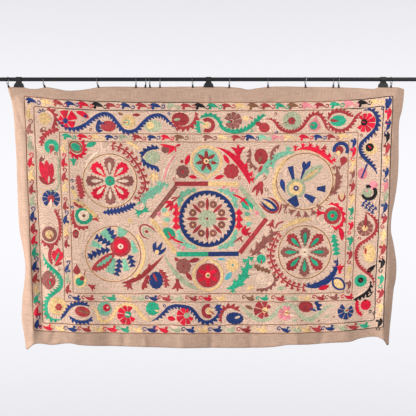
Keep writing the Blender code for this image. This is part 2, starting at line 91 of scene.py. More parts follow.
FOLDS = (
    Fold(-935, -330, 90, 30, 330, 15),
    Fold(-1000, -340, 90, 24, 300, -9),
    Fold(945, -330, 90, 34, 300, 9),
    Fold(1000, -260, 90, 26, 300, -8),
    Fold(-900, 590, -33, 16, 170, 7),
    Fold(-990, 470, -62, 18, 170, 6),
    Fold(-760, 620, 0, 60, 110, -9),
    Fold(-640, 560, 62, 18, 130, 5),
    Fold(215, 650, 0, 45, 70, -7),
    Fold(300, 560, 58, 20, 130, 5),
    Fold(860, 600, 24, 18, 160, 6),
    Fold(985, 470, 70, 20, 180, 6),
    Fold(-560, -640, 84, 40, 150, 6),
    Fold(-760, -660, 80, 30, 110, -7),
    Fold(430, -640, 92, 36, 130, 6),
    Fold(780, -650, 105, 34, 130, -8),
    Fold(900, -610, 118, 28, 150, 9),
    Fold(-300, 120, 12, 60, 300, 5),
    Fold(420, 60, -10, 70, 320, -5),
    Fold(60, -330, 4, 60, 380, 5),
)
# Creases finer than the solid holds: storage folds, and pulls under the clips and clamps.
CREASES = (
    Fold(6, 0, 90, 9, 640, 1.3),
    Fold(0, 16, 0, 9, 1000, 1.2),
    Fold(-530, 0, 90, 10, 560, 0.7),
    Fold(540, 0, 90, 10, 560, -0.7),
    Fold(-16, 676, 86, 5, 34, 7),
    Fold(-2, 672, 97, 6, 40, -6),
    Fold(10, 668, 100, 7, 36, 5),
    Fold(-1010, 640, -50, 11, 70, 5),
    Fold(-1030, 560, -75, 12, 110, 5),
    Fold(-930, 660, -22, 11, 90, 5),
    Fold(-850, 650, -14, 11, 90, -3),
    Fold(940, 655, 20, 11, 80, 4),
    Fold(1030, 520, 80, 14, 130, 5),
    Fold(1034, -420, 92, 15, 200, -5),
    Fold(-1036, -60, 88, 15, 200, 5),
    Fold(-985, -600, 78, 16, 130, -9.5),
    Fold(-1020, -640, 82, 14, 90, 6.5),
    Fold(-880, -670, 70, 18, 60, 6.5),
    Fold(-800, -680, 95, 15, 50, -5),
    Fold(-480, -680, 86, 19, 50, 6.5),
    Fold(-360, -690, 92, 15, 40, -5),
    Fold(-150, -680, 95, 18, 50, -5),
    Fold(15, -690, 90, 14, 50, 6.5),
    Fold(240, -680, 88, 18, 60, 5),
    Fold(500, -690, 98, 15, 45, -5),
    Fold(640, -680, 80, 18, 60, 6.5),
    Fold(980, -640, 100, 15, 110, -9.5),
    Fold(1015, -600, 96, 14, 120, 6.5),
    Fold(-1040, 300, 92, 15, 160, 5),
    Fold(-1010, 150, 86, 16, 140, -5),
    Fold(1030, 120, 90, 15, 170, 5),
)
Wave = namedtuple("Wave", "length_mm depth_mm top_share slant sway phase")
WAVES = (
    Wave(640, 6.0, 0.25, 0.0, 0.9, 0.7),
    Wave(290, 2.4, 0.50, 1.4, 0.0, 2.0),
)
WAVE_SWAY_RATE = 2.3
# The jaws on the top edge, where the cloth lies flat: the middle and half width of each.
JAW_HALF_WIDTH = 7 * MM
CLAMP_HALF_WIDTH = 27.5 * MM
CLIPS = [f"clip_{number:02d}" for number in range(1, 15)]
RINGS = [f"ring_{number:02d}" for number in range(1, 15)]
CLAMPS = ["clamp_left", "clamp_middle", "clamp_right"]
JAW_BOTTOM_Z = -49 * MM
FLAT_MARGIN = 4 * MM
FLAT_FADE = 70 * MM

SHEET_THICKNESS = 1.6 * MM
SHEET_STEP = 10.5 * MM
PUCKER_DEPTH = 0.35 * MM
FLAT_STEP = 2 * MM

CHART_SQUARE = 5.5 * MM
CHART_MIDDLE = 208.0
CHART_ROD_ROW = 78.0
LENS_BULGE = 5.5e-7
LENS_MEAN = 1.02

STITCH_STEP = 3.2 * MM
STITCH_LOW = 0.15 * MM
STITCH_HIGH = 0.7 * MM
STITCH_CROWN = 1.05 * MM
STITCH_ROUND = 0.6 * MM
STITCH_BACK = 0.3 * MM
STITCH_SPREAD = 1.2
STITCH_SHARP = math.radians(16)
TOOTH_SPREAD = 1.5
TOOTH_PITCH = 1.3
TOOTH_HALF_BASE = 0.45
TOOTH_BLUNTNESS = 0.8
TOOTH_LEAN = 0.45
TOOTH_FADE = 10
LEAST_HALF_WIDTH = 0.25 * MM
CURVE_PARTS = 24
LAY_ROUNDS = 8
INSET_MOST = 0.3
DISC_STEP = 0.9 * STITCH_STEP
DISC_LEAST_SIDES = 20
SIDES_PER_LOBE = 6
ARC_STEP_DEG = 18
CURL_STEPS = 14
CURL_SHRINK = 0.66
LAYER_RISE = 0.7 * MM
ROW_PITCH = 14 * MM


def curve_at(points_mm, position):
    """A smooth curve through (position, value) points in millimetres, read at positions in metres."""
    table = np.array(points_mm, dtype=float) * MM
    place, value = table[:, 0], table[:, 1]
    slope = np.empty_like(value)
    slope[1:-1] = (value[2:] - value[:-2]) / (place[2:] - place[:-2])
    slope[0] = (value[1] - value[0]) / (place[1] - place[0])
    slope[-1] = (value[-1] - value[-2]) / (place[-1] - place[-2])
    p = np.clip(position, place[0], place[-1])
    i = np.clip(np.searchsorted(place, p) - 1, 0, len(place) - 2)
    span = place[i + 1] - place[i]
    t = (p - place[i]) / span
    start = (2 * t**3 - 3 * t**2 + 1) * value[i] + (t**3 - 2 * t**2 + t) * slope[i] * span
    return start + (3 * t**2 - 2 * t**3) * value[i + 1] + (t**3 - t**2) * slope[i + 1] * span


def smooth_step(value):
    t = np.clip(value, 0, 1)
    return t * t * (3 - 2 * t)


def hung_plane(a, b):
    """Where a flat place hangs, seen from the front: the frames spread upwards and lift at corners."""
    across = a / FRAME_HALF_WIDTH
    up = b / FRAME_HALF_HEIGHT
    x = CHART_CENTRE_X + across * (FRAME_HALF_WIDTH + FRAME_SPREAD_AT_TOP * up)
    low_lift = np.where(a < 0, BOTTOM_LEFT_LIFT, BOTTOM_RIGHT_LIFT)
    lift = TOP_CORNER_LIFT * ((1 + up) / 2) ** 4 + low_lift * ((1 - up) / 2) ** 4
    return x, CHART_CENTRE_Z + b + lift * across**4


def margin_share(distance, inner, outer):
    return np.clip((np.abs(distance) - inner) / (outer - inner), 0, 1)


def seen_place(a, b):
    """Front view of a flat place, with the margins drawn out to the cloth's seen outline."""
    x, z = hung_plane(a, b)
    end_share = margin_share(b, FRAME_HALF_HEIGHT, CLOTH_HALF_HEIGHT)
    edge_z = np.where(b > 0, curve_at(TOP_EDGE, x), curve_at(BOTTOM_EDGE, x))
    plane_z = hung_plane(a, np.copysign(CLOTH_HALF_HEIGHT, b))[1]
    z = z + end_share**MARGIN_EASE * (edge_z - plane_z)
    side_share = margin_share(a, FRAME_HALF_WIDTH, CLOTH_HALF_WIDTH)
    edge_x = np.where(a < 0, curve_at(LEFT_EDGE, z), curve_at(RIGHT_EDGE, z))
    plane_x = hung_plane(np.copysign(CLOTH_HALF_WIDTH, a), b)[0]
    x = x + side_share**MARGIN_EASE * (edge_x - plane_x)
    return x, z


def margin_curl(a, b, z):
    """The side margins roll back where they look narrower than the cloth is."""
    share = margin_share(a, FRAME_HALF_WIDTH, CLOTH_HALF_WIDTH)
    edge_x = np.where(a < 0, curve_at(LEFT_EDGE, z), curve_at(RIGHT_EDGE, z))
    line_x = hung_plane(np.copysign(FRAME_HALF_WIDTH, a), b)[0]
    reach = np.sqrt(np.maximum(SIDE_MARGIN_FLAT**2 - (edge_x - line_x) ** 2, 0))
    return CURL_SHARE * reach * share**CURL_EASE


def fold_depth(a, b):
    depth = np.zeros_like(a)
    for fold in FOLDS + CREASES:
        turn = math.radians(fold.turn_deg)
        da = a - fold.a_mm * MM
        db = b - fold.b_mm * MM
        along = (da * math.cos(turn) + db * math.sin(turn)) / (fold.length_mm * MM)
        across = (db * math.cos(turn) - da * math.sin(turn)) / (fold.width_mm * MM)
        depth += fold.depth_mm * MM * np.exp(-(across**2) - along**2)
    return depth


def wave_depth(a, b):
    down = np.clip((CLOTH_HALF_HEIGHT - b) / (2 * CLOTH_HALF_HEIGHT), 0, 1)
    depth = np.zeros_like(a)
    for wave in WAVES:
        turn = 2 * math.pi * a / (wave.length_mm * MM) + wave.slant * b + wave.phase
        turn = turn + wave.sway * np.sin(WAVE_SWAY_RATE * b)
        depth += wave.depth_mm * MM * (wave.top_share + down) * np.sin(turn)
    return depth


def pucker_depth(a, b):
    """The dense stitching draws the cloth up in small uneven hollows."""
    first = np.sin(a * 71 + 1.3 * np.sin(b * 47)) * np.sin(b * 83 + 1.1 * np.sin(a * 39))
    second = np.sin(a * 167 + b * 61) * np.sin(b * 149 - a * 53)
    return PUCKER_DEPTH * (first + 0.5 * second)


def jaws():
    """The middle and half width of each jaw, from the nodes themselves."""
    for name in CLIPS + CLAMPS:
        low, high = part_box(name)
        half = CLAMP_HALF_WIDTH if name in CLAMPS else JAW_HALF_WIDTH
        middle = (low[0] + high[0]) / 2
        if name in CLIPS:
            ring_low, ring_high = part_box(name.replace("clip", "ring"))
            ring_x = (ring_low[0] + ring_high[0]) / 2
            middle = 2 * middle - ring_x
        yield middle, half


JAWS = list(jaws())


def freedom(x, z):
    """0 inside a jaw, where the cloth must lie flat, rising to 1 away from all of them."""
    free = np.ones_like(x)
    below = smooth_step((JAW_BOTTOM_Z - z) / FLAT_FADE)
    for middle, half_width in JAWS:
        beside = smooth_step((np.abs(x - middle) - half_width - FLAT_MARGIN) / FLAT_FADE)
        free *= 1 - (1 - beside) * (1 - below)
    return free


def cloth_points(a, b):
    """The hanging places of flat places (a, b), as rows of x, y, z."""
    x, z = seen_place(a, b)
    depth = fold_depth(a, b) + wave_depth(a, b) + pucker_depth(a, b) + margin_curl(a, b, z)
    return np.stack((x, depth * freedom(x, z), z), axis=-1)


def cloth_frames(a, b):
    """The hanging places, and the unit directions towards the viewer's side of the cloth."""
    along = cloth_points(a + FLAT_STEP, b) - cloth_points(a - FLAT_STEP, b)
    up = cloth_points(a, b + FLAT_STEP) - cloth_points(a, b - FLAT_STEP)
    facing = np.cross(along, up)
    facing /= np.linalg.norm(facing, axis=-1, keepdims=True)
    return cloth_points(a, b), facing


def lay(x, y):
    """The flat place under a chart square, with the lens's bulge and the frames' spread taken off."""
    dx = x - CHART_MIDDLE
    dy = y - CHART_MIDDLE
    swell = (1 + LENS_BULGE * (dx * dx + dy * dy)) / LENS_MEAN
    rod_dy = CHART_ROD_ROW - CHART_MIDDLE
    rod_swell = (1 + LENS_BULGE * rod_dy**2) / LENS_MEAN
    seen_x = dx * swell * CHART_SQUARE
    seen_z = (rod_dy * rod_swell - dy * swell) * CHART_SQUARE
    a, b = seen_x, seen_z - CHART_CENTRE_Z
    for _ in range(LAY_ROUNDS):
        plane_x, plane_z = hung_plane(np.float64(a), np.float64(b))
        a += seen_x - plane_x
        b += seen_z - plane_z
    return np.array((a, b))


# Stitched shapes. Each is laid flat in metres, and kept with its thread until the thread is sewn.
TINT_TURN = 12.9898
TINT_SCATTER = 43758.5453
sewn = {}
patch_count = 0


def keep_patch(thread, flat, height, across, along, quads, triangles):
    """Put one closed patch with its thread, and give it a tint from -1 to 1 that looks random.

    Height is above the cloth's front, or below its back.
    """
    global patch_count
    patch_count += 1
    tint = math.sin(patch_count * TINT_TURN) * TINT_SCATTER
    tint = 2 * (tint - math.floor(tint)) - 1
    sewn.setdefault(thread, []).append((flat, height, across, along, quads, triangles, tint))


def loop_quads(rows, columns, closed):
    """Quads between rows of a grid whose columns close on themselves, and rows too if closed."""
    row = np.arange(rows if closed else rows - 1)[:, None]
    column = np.arange(columns)[None, :]
    next_row = (row + 1) % rows
    next_column = (column + 1) % columns
    corners = (
        row * columns + column,
        row * columns + next_column,
        next_row * columns + next_column,
        next_row * columns + column,
    )
    return np.stack(np.broadcast_arrays(*corners), axis=-1).reshape(-1, 4)


def fan(first, count, flip):
    """Triangles that close an end of a band."""
    spokes = [(first, first + i, first + i + 1) for i in range(1, count - 1)]
    return [spoke[::-1] for spoke in spokes] if flip else spokes


def band(thread, path, left, right, layer=0, closed=False, lean=None):
    """A stitched band along a flat path, with its own half width on each side at each point."""
    if closed:
        tangent = np.roll(path, -1, axis=0) - np.roll(path, 1, axis=0)
    else:
        tangent = np.gradient(path, axis=0)
    tangent /= np.maximum(np.linalg.norm(tangent, axis=1, keepdims=True), 1e-9)
    normal = np.stack((-tangent[:, 1], tangent[:, 0]), axis=1)
    slip_left = np.zeros(len(path)) if lean is None else lean[0]
    slip_right = np.zeros(len(path)) if lean is None else lean[1]
    left_edge = path + normal * left[:, None] + tangent * slip_left[:, None]
    right_edge = path - normal * right[:, None] + tangent * slip_right[:, None]
    inset = np.minimum(STITCH_ROUND / np.maximum(left + right, 1e-6), INSET_MOST)[:, None]
    left_top = left_edge + (right_edge - left_edge) * inset
    right_top = right_edge + (left_edge - right_edge) * inset
    crown = (left_top + right_top) / 2
    flat = np.stack((left_edge, left_top, crown, right_top, right_edge, right_edge, left_edge), axis=1)
    rise = layer * LAYER_RISE
    levels = [STITCH_LOW + rise, STITCH_HIGH + rise, STITCH_CROWN + rise, STITCH_HIGH + rise]
    levels += [STITCH_LOW + rise, -STITCH_BACK, -STITCH_BACK]
    steps = np.linalg.norm(np.diff(path, axis=0), axis=1)
    travel = np.concatenate(((0,), np.cumsum(steps)))
    across = np.stack((left, left, (left - right) / 2, -right, -right, -right, left), axis=1)
    rows = len(path)
    height = np.tile(levels, rows)
    along = np.repeat(travel, len(levels))
    quads = loop_quads(rows, len(levels), closed)[:, ::-1]
    ends = []
    if not closed:
        ends = fan(0, len(levels), False) + fan((rows - 1) * len(levels), len(levels), True)
    keep_patch(thread, flat.reshape(-1, 2), height, across.ravel(), along, quads, ends)


def smooth_path(points, closed=False, step=STITCH_STEP):
    """Even steps along a smooth curve through the points."""
    points = np.array(points, dtype=float)
    if closed:
        control = np.concatenate((points[-1:], points, points[:2]))
    else:
        control = np.concatenate((2 * points[:1] - points[1:2], points, 2 * points[-1:] - points[-2:-1]))
    t = np.linspace(0, 1, CURVE_PARTS, endpoint=False)[:, None]
    dense = []
    for p0, p1, p2, p3 in zip(control, control[1:], control[2:], control[3:]):
        bend = 2 * p1 + (p2 - p0) * t + (2 * p0 - 5 * p1 + 4 * p2 - p3) * t**2
        dense.append((bend + (3 * p1 - p0 - 3 * p2 + p3) * t**3) / 2)
    dense.append(points[:1] if closed else points[-1:])
    dense = np.concatenate(dense)
    travel = np.concatenate(((0,), np.cumsum(np.linalg.norm(np.diff(dense, axis=0), axis=1))))
    count = max(4, round(travel[-1] / step))
    marks = np.linspace(0, travel[-1], count + 1)
    if closed:
        marks = marks[:-1]
    return np.stack((np.interp(marks, travel, dense[:, 0]), np.interp(marks, travel, dense[:, 1])), axis=1)


def chart_points(route):
    """Flat places of a route written as 'x,y x,y' in chart squares."""
    return [lay(*(float(part) for part in pair.split(","))) for pair in route.split()]


def tooth(travel, pitch):
    """A row of pointed teeth, from 0 to 1, along a band."""
    share = np.mod(travel / pitch, 1)
    return np.maximum(0, 1 - np.abs(share - 0.5) / TOOTH_HALF_BASE) ** TOOTH_BLUNTNESS


SHAPES = {
    "even": lambda t: np.ones_like(t),
    "vine": lambda t: np.minimum(1, 6 * t) * np.minimum(1, 6 * (1 - t)) * 0.85 + 0.15,
    "leaf": lambda t: np.sin(math.pi * t) ** 0.65,
    "drop": lambda t: np.sin(math.pi * t**1.7) ** 0.75,
    "bud": lambda t: np.sin(math.pi * (1 - t) ** 1.9) ** 0.8,
    "wedge": lambda t: 0.45 + 0.55 * t,
    "fan": lambda t: (0.26 + 0.74 * t) * np.minimum(1, 3.4 * np.sqrt(1 - t)),
    "petal": lambda t: (0.14 + 0.86 * t) * np.minimum(1, 7 * (1 - t)) ** 0.5,
    "blade": lambda t: np.sin(math.pi * t**1.35) ** 0.7,
    "spear": lambda t: np.minimum(1, 3.2 * t + 0.25) * (1 - t) ** 0.55,
    "bud_body": lambda t: np.minimum(1, 3.2 * t + 0.12) * np.minimum(1, 2.2 * (1 - t)) ** 0.8,
    "thorn": lambda t: (1 - t) ** 0.6 * np.minimum(1, 5 * t + 0.45),
}


def stroke(thread, points, width, shape="even", teeth=None, layer=0, closed=False, step=STITCH_STEP):
    """A band through flat points. Teeth are (side, depth, pitch): side 1 is left of travel, 0 is both."""
    path = smooth_path(points, closed, step)
    count = len(path)
    t = np.linspace(0, 1, count, endpoint=not closed)
    half = width * STITCH_SPREAD * CHART_SQUARE / 2 * SHAPES[shape](t)
    half = np.maximum(half, LEAST_HALF_WIDTH)
    left, right = half.copy(), half.copy()
    lean = None
    if teeth:
        side, depth, pitch = teeth
        steps = np.linalg.norm(np.diff(path, axis=0), axis=1)
        travel = np.concatenate(((0,), np.cumsum(steps)))
        fade = np.minimum(1, np.minimum(t, 1 - t) * TOOTH_FADE) if not closed else 1
        grow = depth * TOOTH_SPREAD * CHART_SQUARE * tooth(travel, pitch * TOOTH_PITCH * CHART_SQUARE) * fade
        slip = TOOTH_LEAN * grow
        none = np.zeros(count)
        if side >= 0:
            left = left + grow
        if side <= 0:
            right = right + grow
        lean = (slip if side >= 0 else none, slip if side <= 0 else none)
    band(thread, path, left, right, layer, closed, lean)


def vine(thread, route, width=2.2, teeth=None, shape="vine", layer=0):
    step = STITCH_STEP if teeth else 1.6 * STITCH_STEP
    stroke(thread, chart_points(route), width, shape, teeth, layer, step=step)


def turned(length, angle_deg):
    angle = math.radians(angle_deg)
    return np.array((math.cos(angle), math.sin(angle))) * length * CHART_SQUARE


def leaf_at(thread, start, length, angle, width, bend=0.0, shape="leaf", teeth=None, layer=0):
    """A leaf or petal from a flat place, along an angle, bowed to its left by bend."""
    tip = start + turned(length, angle)
    middle = (start + tip) / 2 + turned(bend, angle + 90)
    step = min(STITCH_STEP, length * CHART_SQUARE / 7)
    stroke(thread, (start, middle, tip), width, shape, teeth, layer, step=step)


def leaf(thread, x0, y0, x1, y1, width, bend=0.0, shape="leaf", teeth=None, layer=0):
    """A leaf between two chart places."""
    start, tip = lay(x0, y0), lay(x1, y1)
    run = tip - start
    length = float(np.linalg.norm(run)) / CHART_SQUARE
    angle = math.degrees(math.atan2(run[1], run[0]))
    leaf_at(thread, start, length, angle, width, bend, shape, teeth, layer)


def disc_at(thread, centre, radius, lobes=0, dent=0.0, turn=0.0, stretch=1.0, tilt=0.0, layer=0, points=None):
    """A stitched disc, lobed like a flower by lobes and dent, or a star by a list of radii."""
    round_steps = int(radius * CHART_SQUARE * 2 * math.pi / DISC_STEP)
    count = max(DISC_LEAST_SIDES, SIDES_PER_LOBE * lobes, round_steps)
    if points:
        count = 2 * points * SIDES_PER_LOBE
    angle = 2 * math.pi * np.arange(count) / count
    reach = np.ones(count)
    if points:
        swing = np.abs(((angle * points / (2 * math.pi)) % 1) * 2 - 1)
        reach = 1 - dent * (1 - swing)
    elif lobes:
        reach = 1 - dent * (1 - np.abs(np.cos(lobes * angle / 2)))
    edge = np.stack((np.cos(angle) * stretch, np.sin(angle)), axis=1)
    edge = edge * (reach * radius * CHART_SQUARE)[:, None]
    spin = math.radians(tilt)
    first = math.radians(turn)
    turner = np.array(((math.cos(first), math.sin(first)), (-math.sin(first), math.cos(first))))
    edge = edge @ turner
    tilter = np.array(((math.cos(spin), math.sin(spin)), (-math.sin(spin), math.cos(spin))))
    edge = edge @ tilter
    size = radius * CHART_SQUARE
    inset = 1 - min(STITCH_ROUND / size, INSET_MOST)
    rise = layer * LAYER_RISE
    rings = ((1.0, STITCH_LOW + rise), (inset, STITCH_HIGH + rise), (0.5, STITCH_CROWN + rise))
    flat = [centre + edge * share for share, _ in rings] + [centre + edge]
    height = [np.full(count, level) for _, level in rings] + [np.full(count, -STITCH_BACK)]
    flat.append(np.array((centre, centre)))
    height.append(np.array((STITCH_CROWN + rise, -STITCH_BACK)))
    flat = np.concatenate(flat)
    height = np.concatenate(height)
    out = np.linalg.norm(flat - centre, axis=1)
    turn_place = np.arctan2(flat[:, 1] - centre[1], flat[:, 0] - centre[0]) * size
    i = np.arange(count)
    j = (i + 1) % count
    back = 3 * count
    top_centre, back_centre = 4 * count, 4 * count + 1
    quads = []
    for inner in (0, count):
        outer = inner + count
        quads.append(np.stack((inner + i, inner + j, outer + j, outer + i), axis=1))
    quads.append(np.stack((back + i, back + j, j, i), axis=1))
    triangles = [(2 * count + p, 2 * count + q, top_centre) for p, q in zip(i, j)]
    triangles += [(back + q, back + p, back_centre) for p, q in zip(i, j)]
    keep_patch(thread, flat, height, out, turn_place, np.concatenate(quads), triangles)


def disc(thread, x, y, radius, lobes=0, dent=0.12, turn=0.0, stretch=1.0, tilt=0.0, layer=0):
    disc_at(thread, lay(x, y), radius, lobes, dent, turn, stretch, tilt, layer)


def star(thread, x, y, radius, points, dent=0.62, turn=90.0, layer=0):
    disc_at(thread, lay(x, y), radius, dent=dent, turn=turn, layer=layer, points=points)


def arc_points(centre, radius, start, end, stretch=1.0, tilt=0.0):
    count = max(5, int(abs(end - start) / ARC_STEP_DEG))
    spin = math.radians(tilt)
    points = []
    for i in range(count + 1):
        angle = math.radians(start + (end - start) * i / count)
        across = radius * CHART_SQUARE * stretch * math.cos(angle)
        up = radius * CHART_SQUARE * math.sin(angle)
        turned_across = across * math.cos(spin) - up * math.sin(spin)
        points.append(centre + np.array((turned_across, across * math.sin(spin) + up * math.cos(spin))))
    return points


def ring(thread, x, y, radius, width, teeth=None, layer=0, stretch=1.0, tilt=0.0):
    points = arc_points(lay(x, y), radius, 0, 360, stretch, tilt)[:-1]
    stroke(thread, points, width, teeth=teeth, layer=layer, closed=True)


def arc(thread, x, y, radius, width, start, end, teeth=None, shape="even", layer=0):
    """An open ring, its angles counted from the right, anticlockwise as seen."""
    stroke(thread, arc_points(lay(x, y), radius, start, end), width, shape, teeth, layer)


def petals(thread, x, y, inner, outer, width, angles, shape="petal", teeth=None, layer=0, heart=None):
    """Petals round a centre. A heart is (thread, share of the length, share of the width)."""
    centre = lay(x, y)
    for angle in angles:
        start = centre + turned(inner, angle)
        leaf_at(thread, start, outer - inner, angle, width, shape=shape, teeth=teeth, layer=layer)
        if heart:
            heart_thread, length_share, width_share = heart
            length = (outer - inner) * length_share
            inside = centre + turned(inner + (outer - inner) * 0.06, angle)
            leaf_at(heart_thread, inside, length, angle, width * width_share, shape="drop", layer=layer + 1)


def round_angles(count, first=0.0, span=360.0):
    return [first + span * i / count for i in range(count)]


def curl_at(thread, start, angle, size, hand=1, width=0.75, turns=0.92):
    """A spiral tendril that winds in from its start."""
    centre = start + turned(size, angle)
    points = []
    for i in range(CURL_STEPS + 1):
        share = i / CURL_STEPS
        radius = size * (1 - CURL_SHRINK * share)
        points.append(centre + turned(radius, angle + 180 + hand * 360 * turns * share))
    stroke(thread, points, width, step=0.7 * STITCH_STEP)


def curl(thread, x, y, angle, size=2.0, hand=1, width=0.75):
    curl_at(thread, lay(x, y), angle, size, hand, width)


def sprig_at(thread, root, angle, size, prongs=3, spread=46, layer=0):
    """A short stem with pointed leaves fanned at its head, size squares from root to tip."""
    head = root + turned(size * 0.45, angle)
    stroke(thread, (root, (root + head) / 2, head), size * 0.22, layer=layer, step=0.7 * STITCH_STEP)
    neck = root + turned(size * 0.34, angle)
    for i in range(prongs):
        side = i - (prongs - 1) / 2
        leaf_at(thread, neck, size * 0.66, angle + spread * side, size * 0.3, -0.08 * size * side,
                "thorn", layer=layer)


def sprig(thread, x, y, angle, size=3.0, prongs=3, spread=46, layer=0):
    """A sprig round a chart place, its head pointing along the angle."""
    sprig_at(thread, lay(x, y) - turned(size * 0.5, angle), angle, size, prongs, spread, layer)


def set_sprigs(thread, path, places, size, lean=62):
    """Sprigs along a path: each place is (share along it, side), side 1 to the left of travel."""
    for share, side in places:
        i = min(len(path) - 2, int(share * (len(path) - 1)))
        run = path[i + 1] - path[i]
        angle = math.degrees(math.atan2(run[1], run[0]))
        sprig_at(thread, path[i], angle + lean * side, size)


def branch(thread, route, width, sprigs, size=5.0, shape="blade"):
    """A broad stem with sprigs set along it."""
    points = chart_points(route)
    stroke(thread, points, width, shape, step=1.3 * STITCH_STEP)
    set_sprigs(thread, smooth_path(points), sprigs, size)


def twig_vine(thread, route, width=1.0, count=9, size=4.4):
    """A thin stem with small sprigs in pairs along it."""
    points = chart_points(route)
    stroke(thread, points, width, "vine", step=1.4 * STITCH_STEP)
    shares = [(i + 0.5) / count for i in range(count)]
    for side in (1, -1):
        set_sprigs(thread, smooth_path(points), [(share, side) for share in shares], size)


def tulip(thread, calyx, x, y, angle, size):
    """Three pointed petals on a calyx."""
    centre = lay(x, y)
    base = centre - turned(size * 0.5, angle)
    for side, share in ((0, 1.0), (1, 0.92), (-1, 0.92)):
        leaf_at(thread, base, size * share, angle + 30 * side, size * 0.36, 0.1 * size * side, "spear")
    disc_at(calyx, base + turned(size * 0.12, angle), size * 0.17, layer=1)


def pod(thread, x, y, width, height, tilt=0.0, slit=None, slit_angle=180.0, lobes=0, layer=0):
    """A rounded pod, with a pale slit from its middle to one side."""
    disc_at(thread, lay(x, y), height / 2, lobes, 0.08, 0, width / height, tilt, layer)
    if slit:
        length = 0.48 * min(width, height)
        leaf_at(slit, lay(x, y), length, slit_angle, 0.18 * height, layer=layer + 1)


def ring_flower(outer, inner, heart, x, y, radius, lobes=10):
    """Discs of three threads, one on the other."""
    disc(outer, x, y, radius, lobes, 0.07)
    disc(inner, x, y, radius * 0.6, layer=1)
    if heart:
        disc(heart, x, y, radius * 0.2, layer=2)


def fan_rosette(thread, heart, x, y, radius, count, first=0.0, span=360.0, heart_share=0.36,
                offset=(0, 0), fill=0.77):
    """Broad petals that fill a round outline, fanned out from a heart that may sit off its middle."""
    root = lay(x + offset[0], y + offset[1])
    shift = (root - lay(x, y)) / CHART_SQUARE
    for angle in round_angles(count, first + span / count / 2, span):
        along = float(np.dot(shift, turned(1, angle))) / CHART_SQUARE
        reach = math.sqrt(along**2 + radius**2 - float(np.dot(shift, shift))) - along
        width = 2 * reach * math.sin(math.radians(span / count / 2)) * fill
        leaf_at(thread, root + turned(0.24 * reach, angle), 0.76 * reach, angle, width, shape="fan")
    disc_at(heart, root, radius * heart_share, 6, 0.1, layer=1)


# Buds go round each band clockwise, heads first, at these places along its side.
OUTER_TOP = (
    "blue 32, yellow 47, brick 58, blue 70, crimson 83, black 97, brick 110, blue 125, brick 141, "
    "blue 155, sage 171, brick 186, black 200, green 213, brick 227, yellow 241, brown 254, brick 267, "
    "green 281, brown 294, pink 308, brick 321, green 336, pink 350, black 363, yellow 375"
)
OUTER_RIGHT = (
    "blue 104, crimson 115, blue 126, black 138, brick 149, yellow 161, blue 173, pink 187, sage 197, "
    "blue 208, brick 220, yellow 236, brick 250, black 264, green 280, brick 294, yellow 308, "
    "black 322"
)
OUTER_BOTTOM = (
    "green 364, brick 353, sage 342, blue 330, brick 317, yellow 306, sage 297, blue 286, yellow 262, "
    "brick 246, sage 230, blue 217, yellow 203, blue 190, sage 176, crimson 163, blue 151, yellow 137, "
    "green 124, crimson 111, yellow 98, brick 86, blue 72, yellow 60, crimson 48"
)
OUTER_LEFT = (
    "blue 323, crimson 311, green 299, yellow 289, brick 278, blue 266, green 252, crimson 240, "
    "brick 228, blue 216, sage 201, brick 189, yellow 175, crimson 162, sage 145, maroon 129, "
    "yellow 114"
)
INNER_TOP = (
    "green 66, crimson 81, yellow 94, blue 108, sage 122, brick 136, blue 151, crimson 165, brown 179, "
    "maroon 208, yellow 223, brick 237, blue 251, mint 264, pink 277, yellow 290, crimson 306, "
    "blue 320, brick 333, yellow 345"
)
INNER_RIGHT = (
    "blue 142, crimson 151, yellow 163, maroon 174, brick 187, yellow 199, green 211, crimson 226, "
    "green 241, brick 255, yellow 270, maroon 284"
)
INNER_BOTTOM = (
    "crimson 348, maroon 333, brick 320, yellow 306, sage 293, brick 280, green 264, brown 250, "
    "yellow 221, crimson 207, brick 193, sage 178, brick 166, blue 153, sage 140, yellow 127, "
    "green 111, brick 90, blue 77"
)
INNER_LEFT = (
    "brick 288, sage 278, blue 268, brick 243, yellow 231, blue 219, brick 205, yellow 187, brick 176, "
    "crimson 161, yellow 147"
)
FRAME_LINES = (
    # half width and half height of each stitched line, its corner radius and its width in squares
    (986 * MM, 635 * MM, 4 * MM, 0.85),
    (937 * MM, 589 * MM, 9 * MM, 0.85),
    (805 * MM, 462 * MM, 6 * MM, 0.72),
    (758 * MM, 417 * MM, 6 * MM, 0.72),
)
LINE_STEP = 9 * MM
LINE_WOBBLE = 1.1 * MM
LINE_TREMBLE = 0.6 * MM
LINE_STRAIGHT = 0.99
DARK_LINES_FROM = 900 * MM
DARK_TOP_FROM = 580 * MM
DARK_CORNER_FROM = 760 * MM
DARK_TOP_LEFT_TO = -60 * MM
BANDS = (
    # half width and half height of the band's middle, the size of its buds, and the buds of its four sides
    (962 * MM, 612 * MM, 1.0, (OUTER_TOP, OUTER_RIGHT, OUTER_BOTTOM, OUTER_LEFT)),
    (782 * MM, 439.5 * MM, 0.92, (INNER_TOP, INNER_RIGHT, INNER_BOTTOM, INNER_LEFT)),
)
BAND_ROWS = {"top": 104, "bottom": 329}
BAND_COLUMNS = {"right": 383, "left": 35}
BUD_BODY = ((-5.8, 1.0), (-3.2, 1.7), (0, 1.2), (3.0, 0.3), (5.2, -1.1))
BUD_BODY_WIDTH = 3.3
BUD_FOOT = ((-1.0, 0.8), (-2.4, -0.9), (-3.6, -2.9))
BUD_FOOT_WIDTH = 2.5
BUD_TAIL = (5.1, -1.1)
BUD_TAIL_TURN = 32
BUD_TAIL_SIZE = 2.3
BUD_TAIL_WIDTH = 0.8
BUD_STEP = 0.8 * STITCH_STEP
BUD_TILT = 5
BUD_SIZE_CHANGE = 0.06


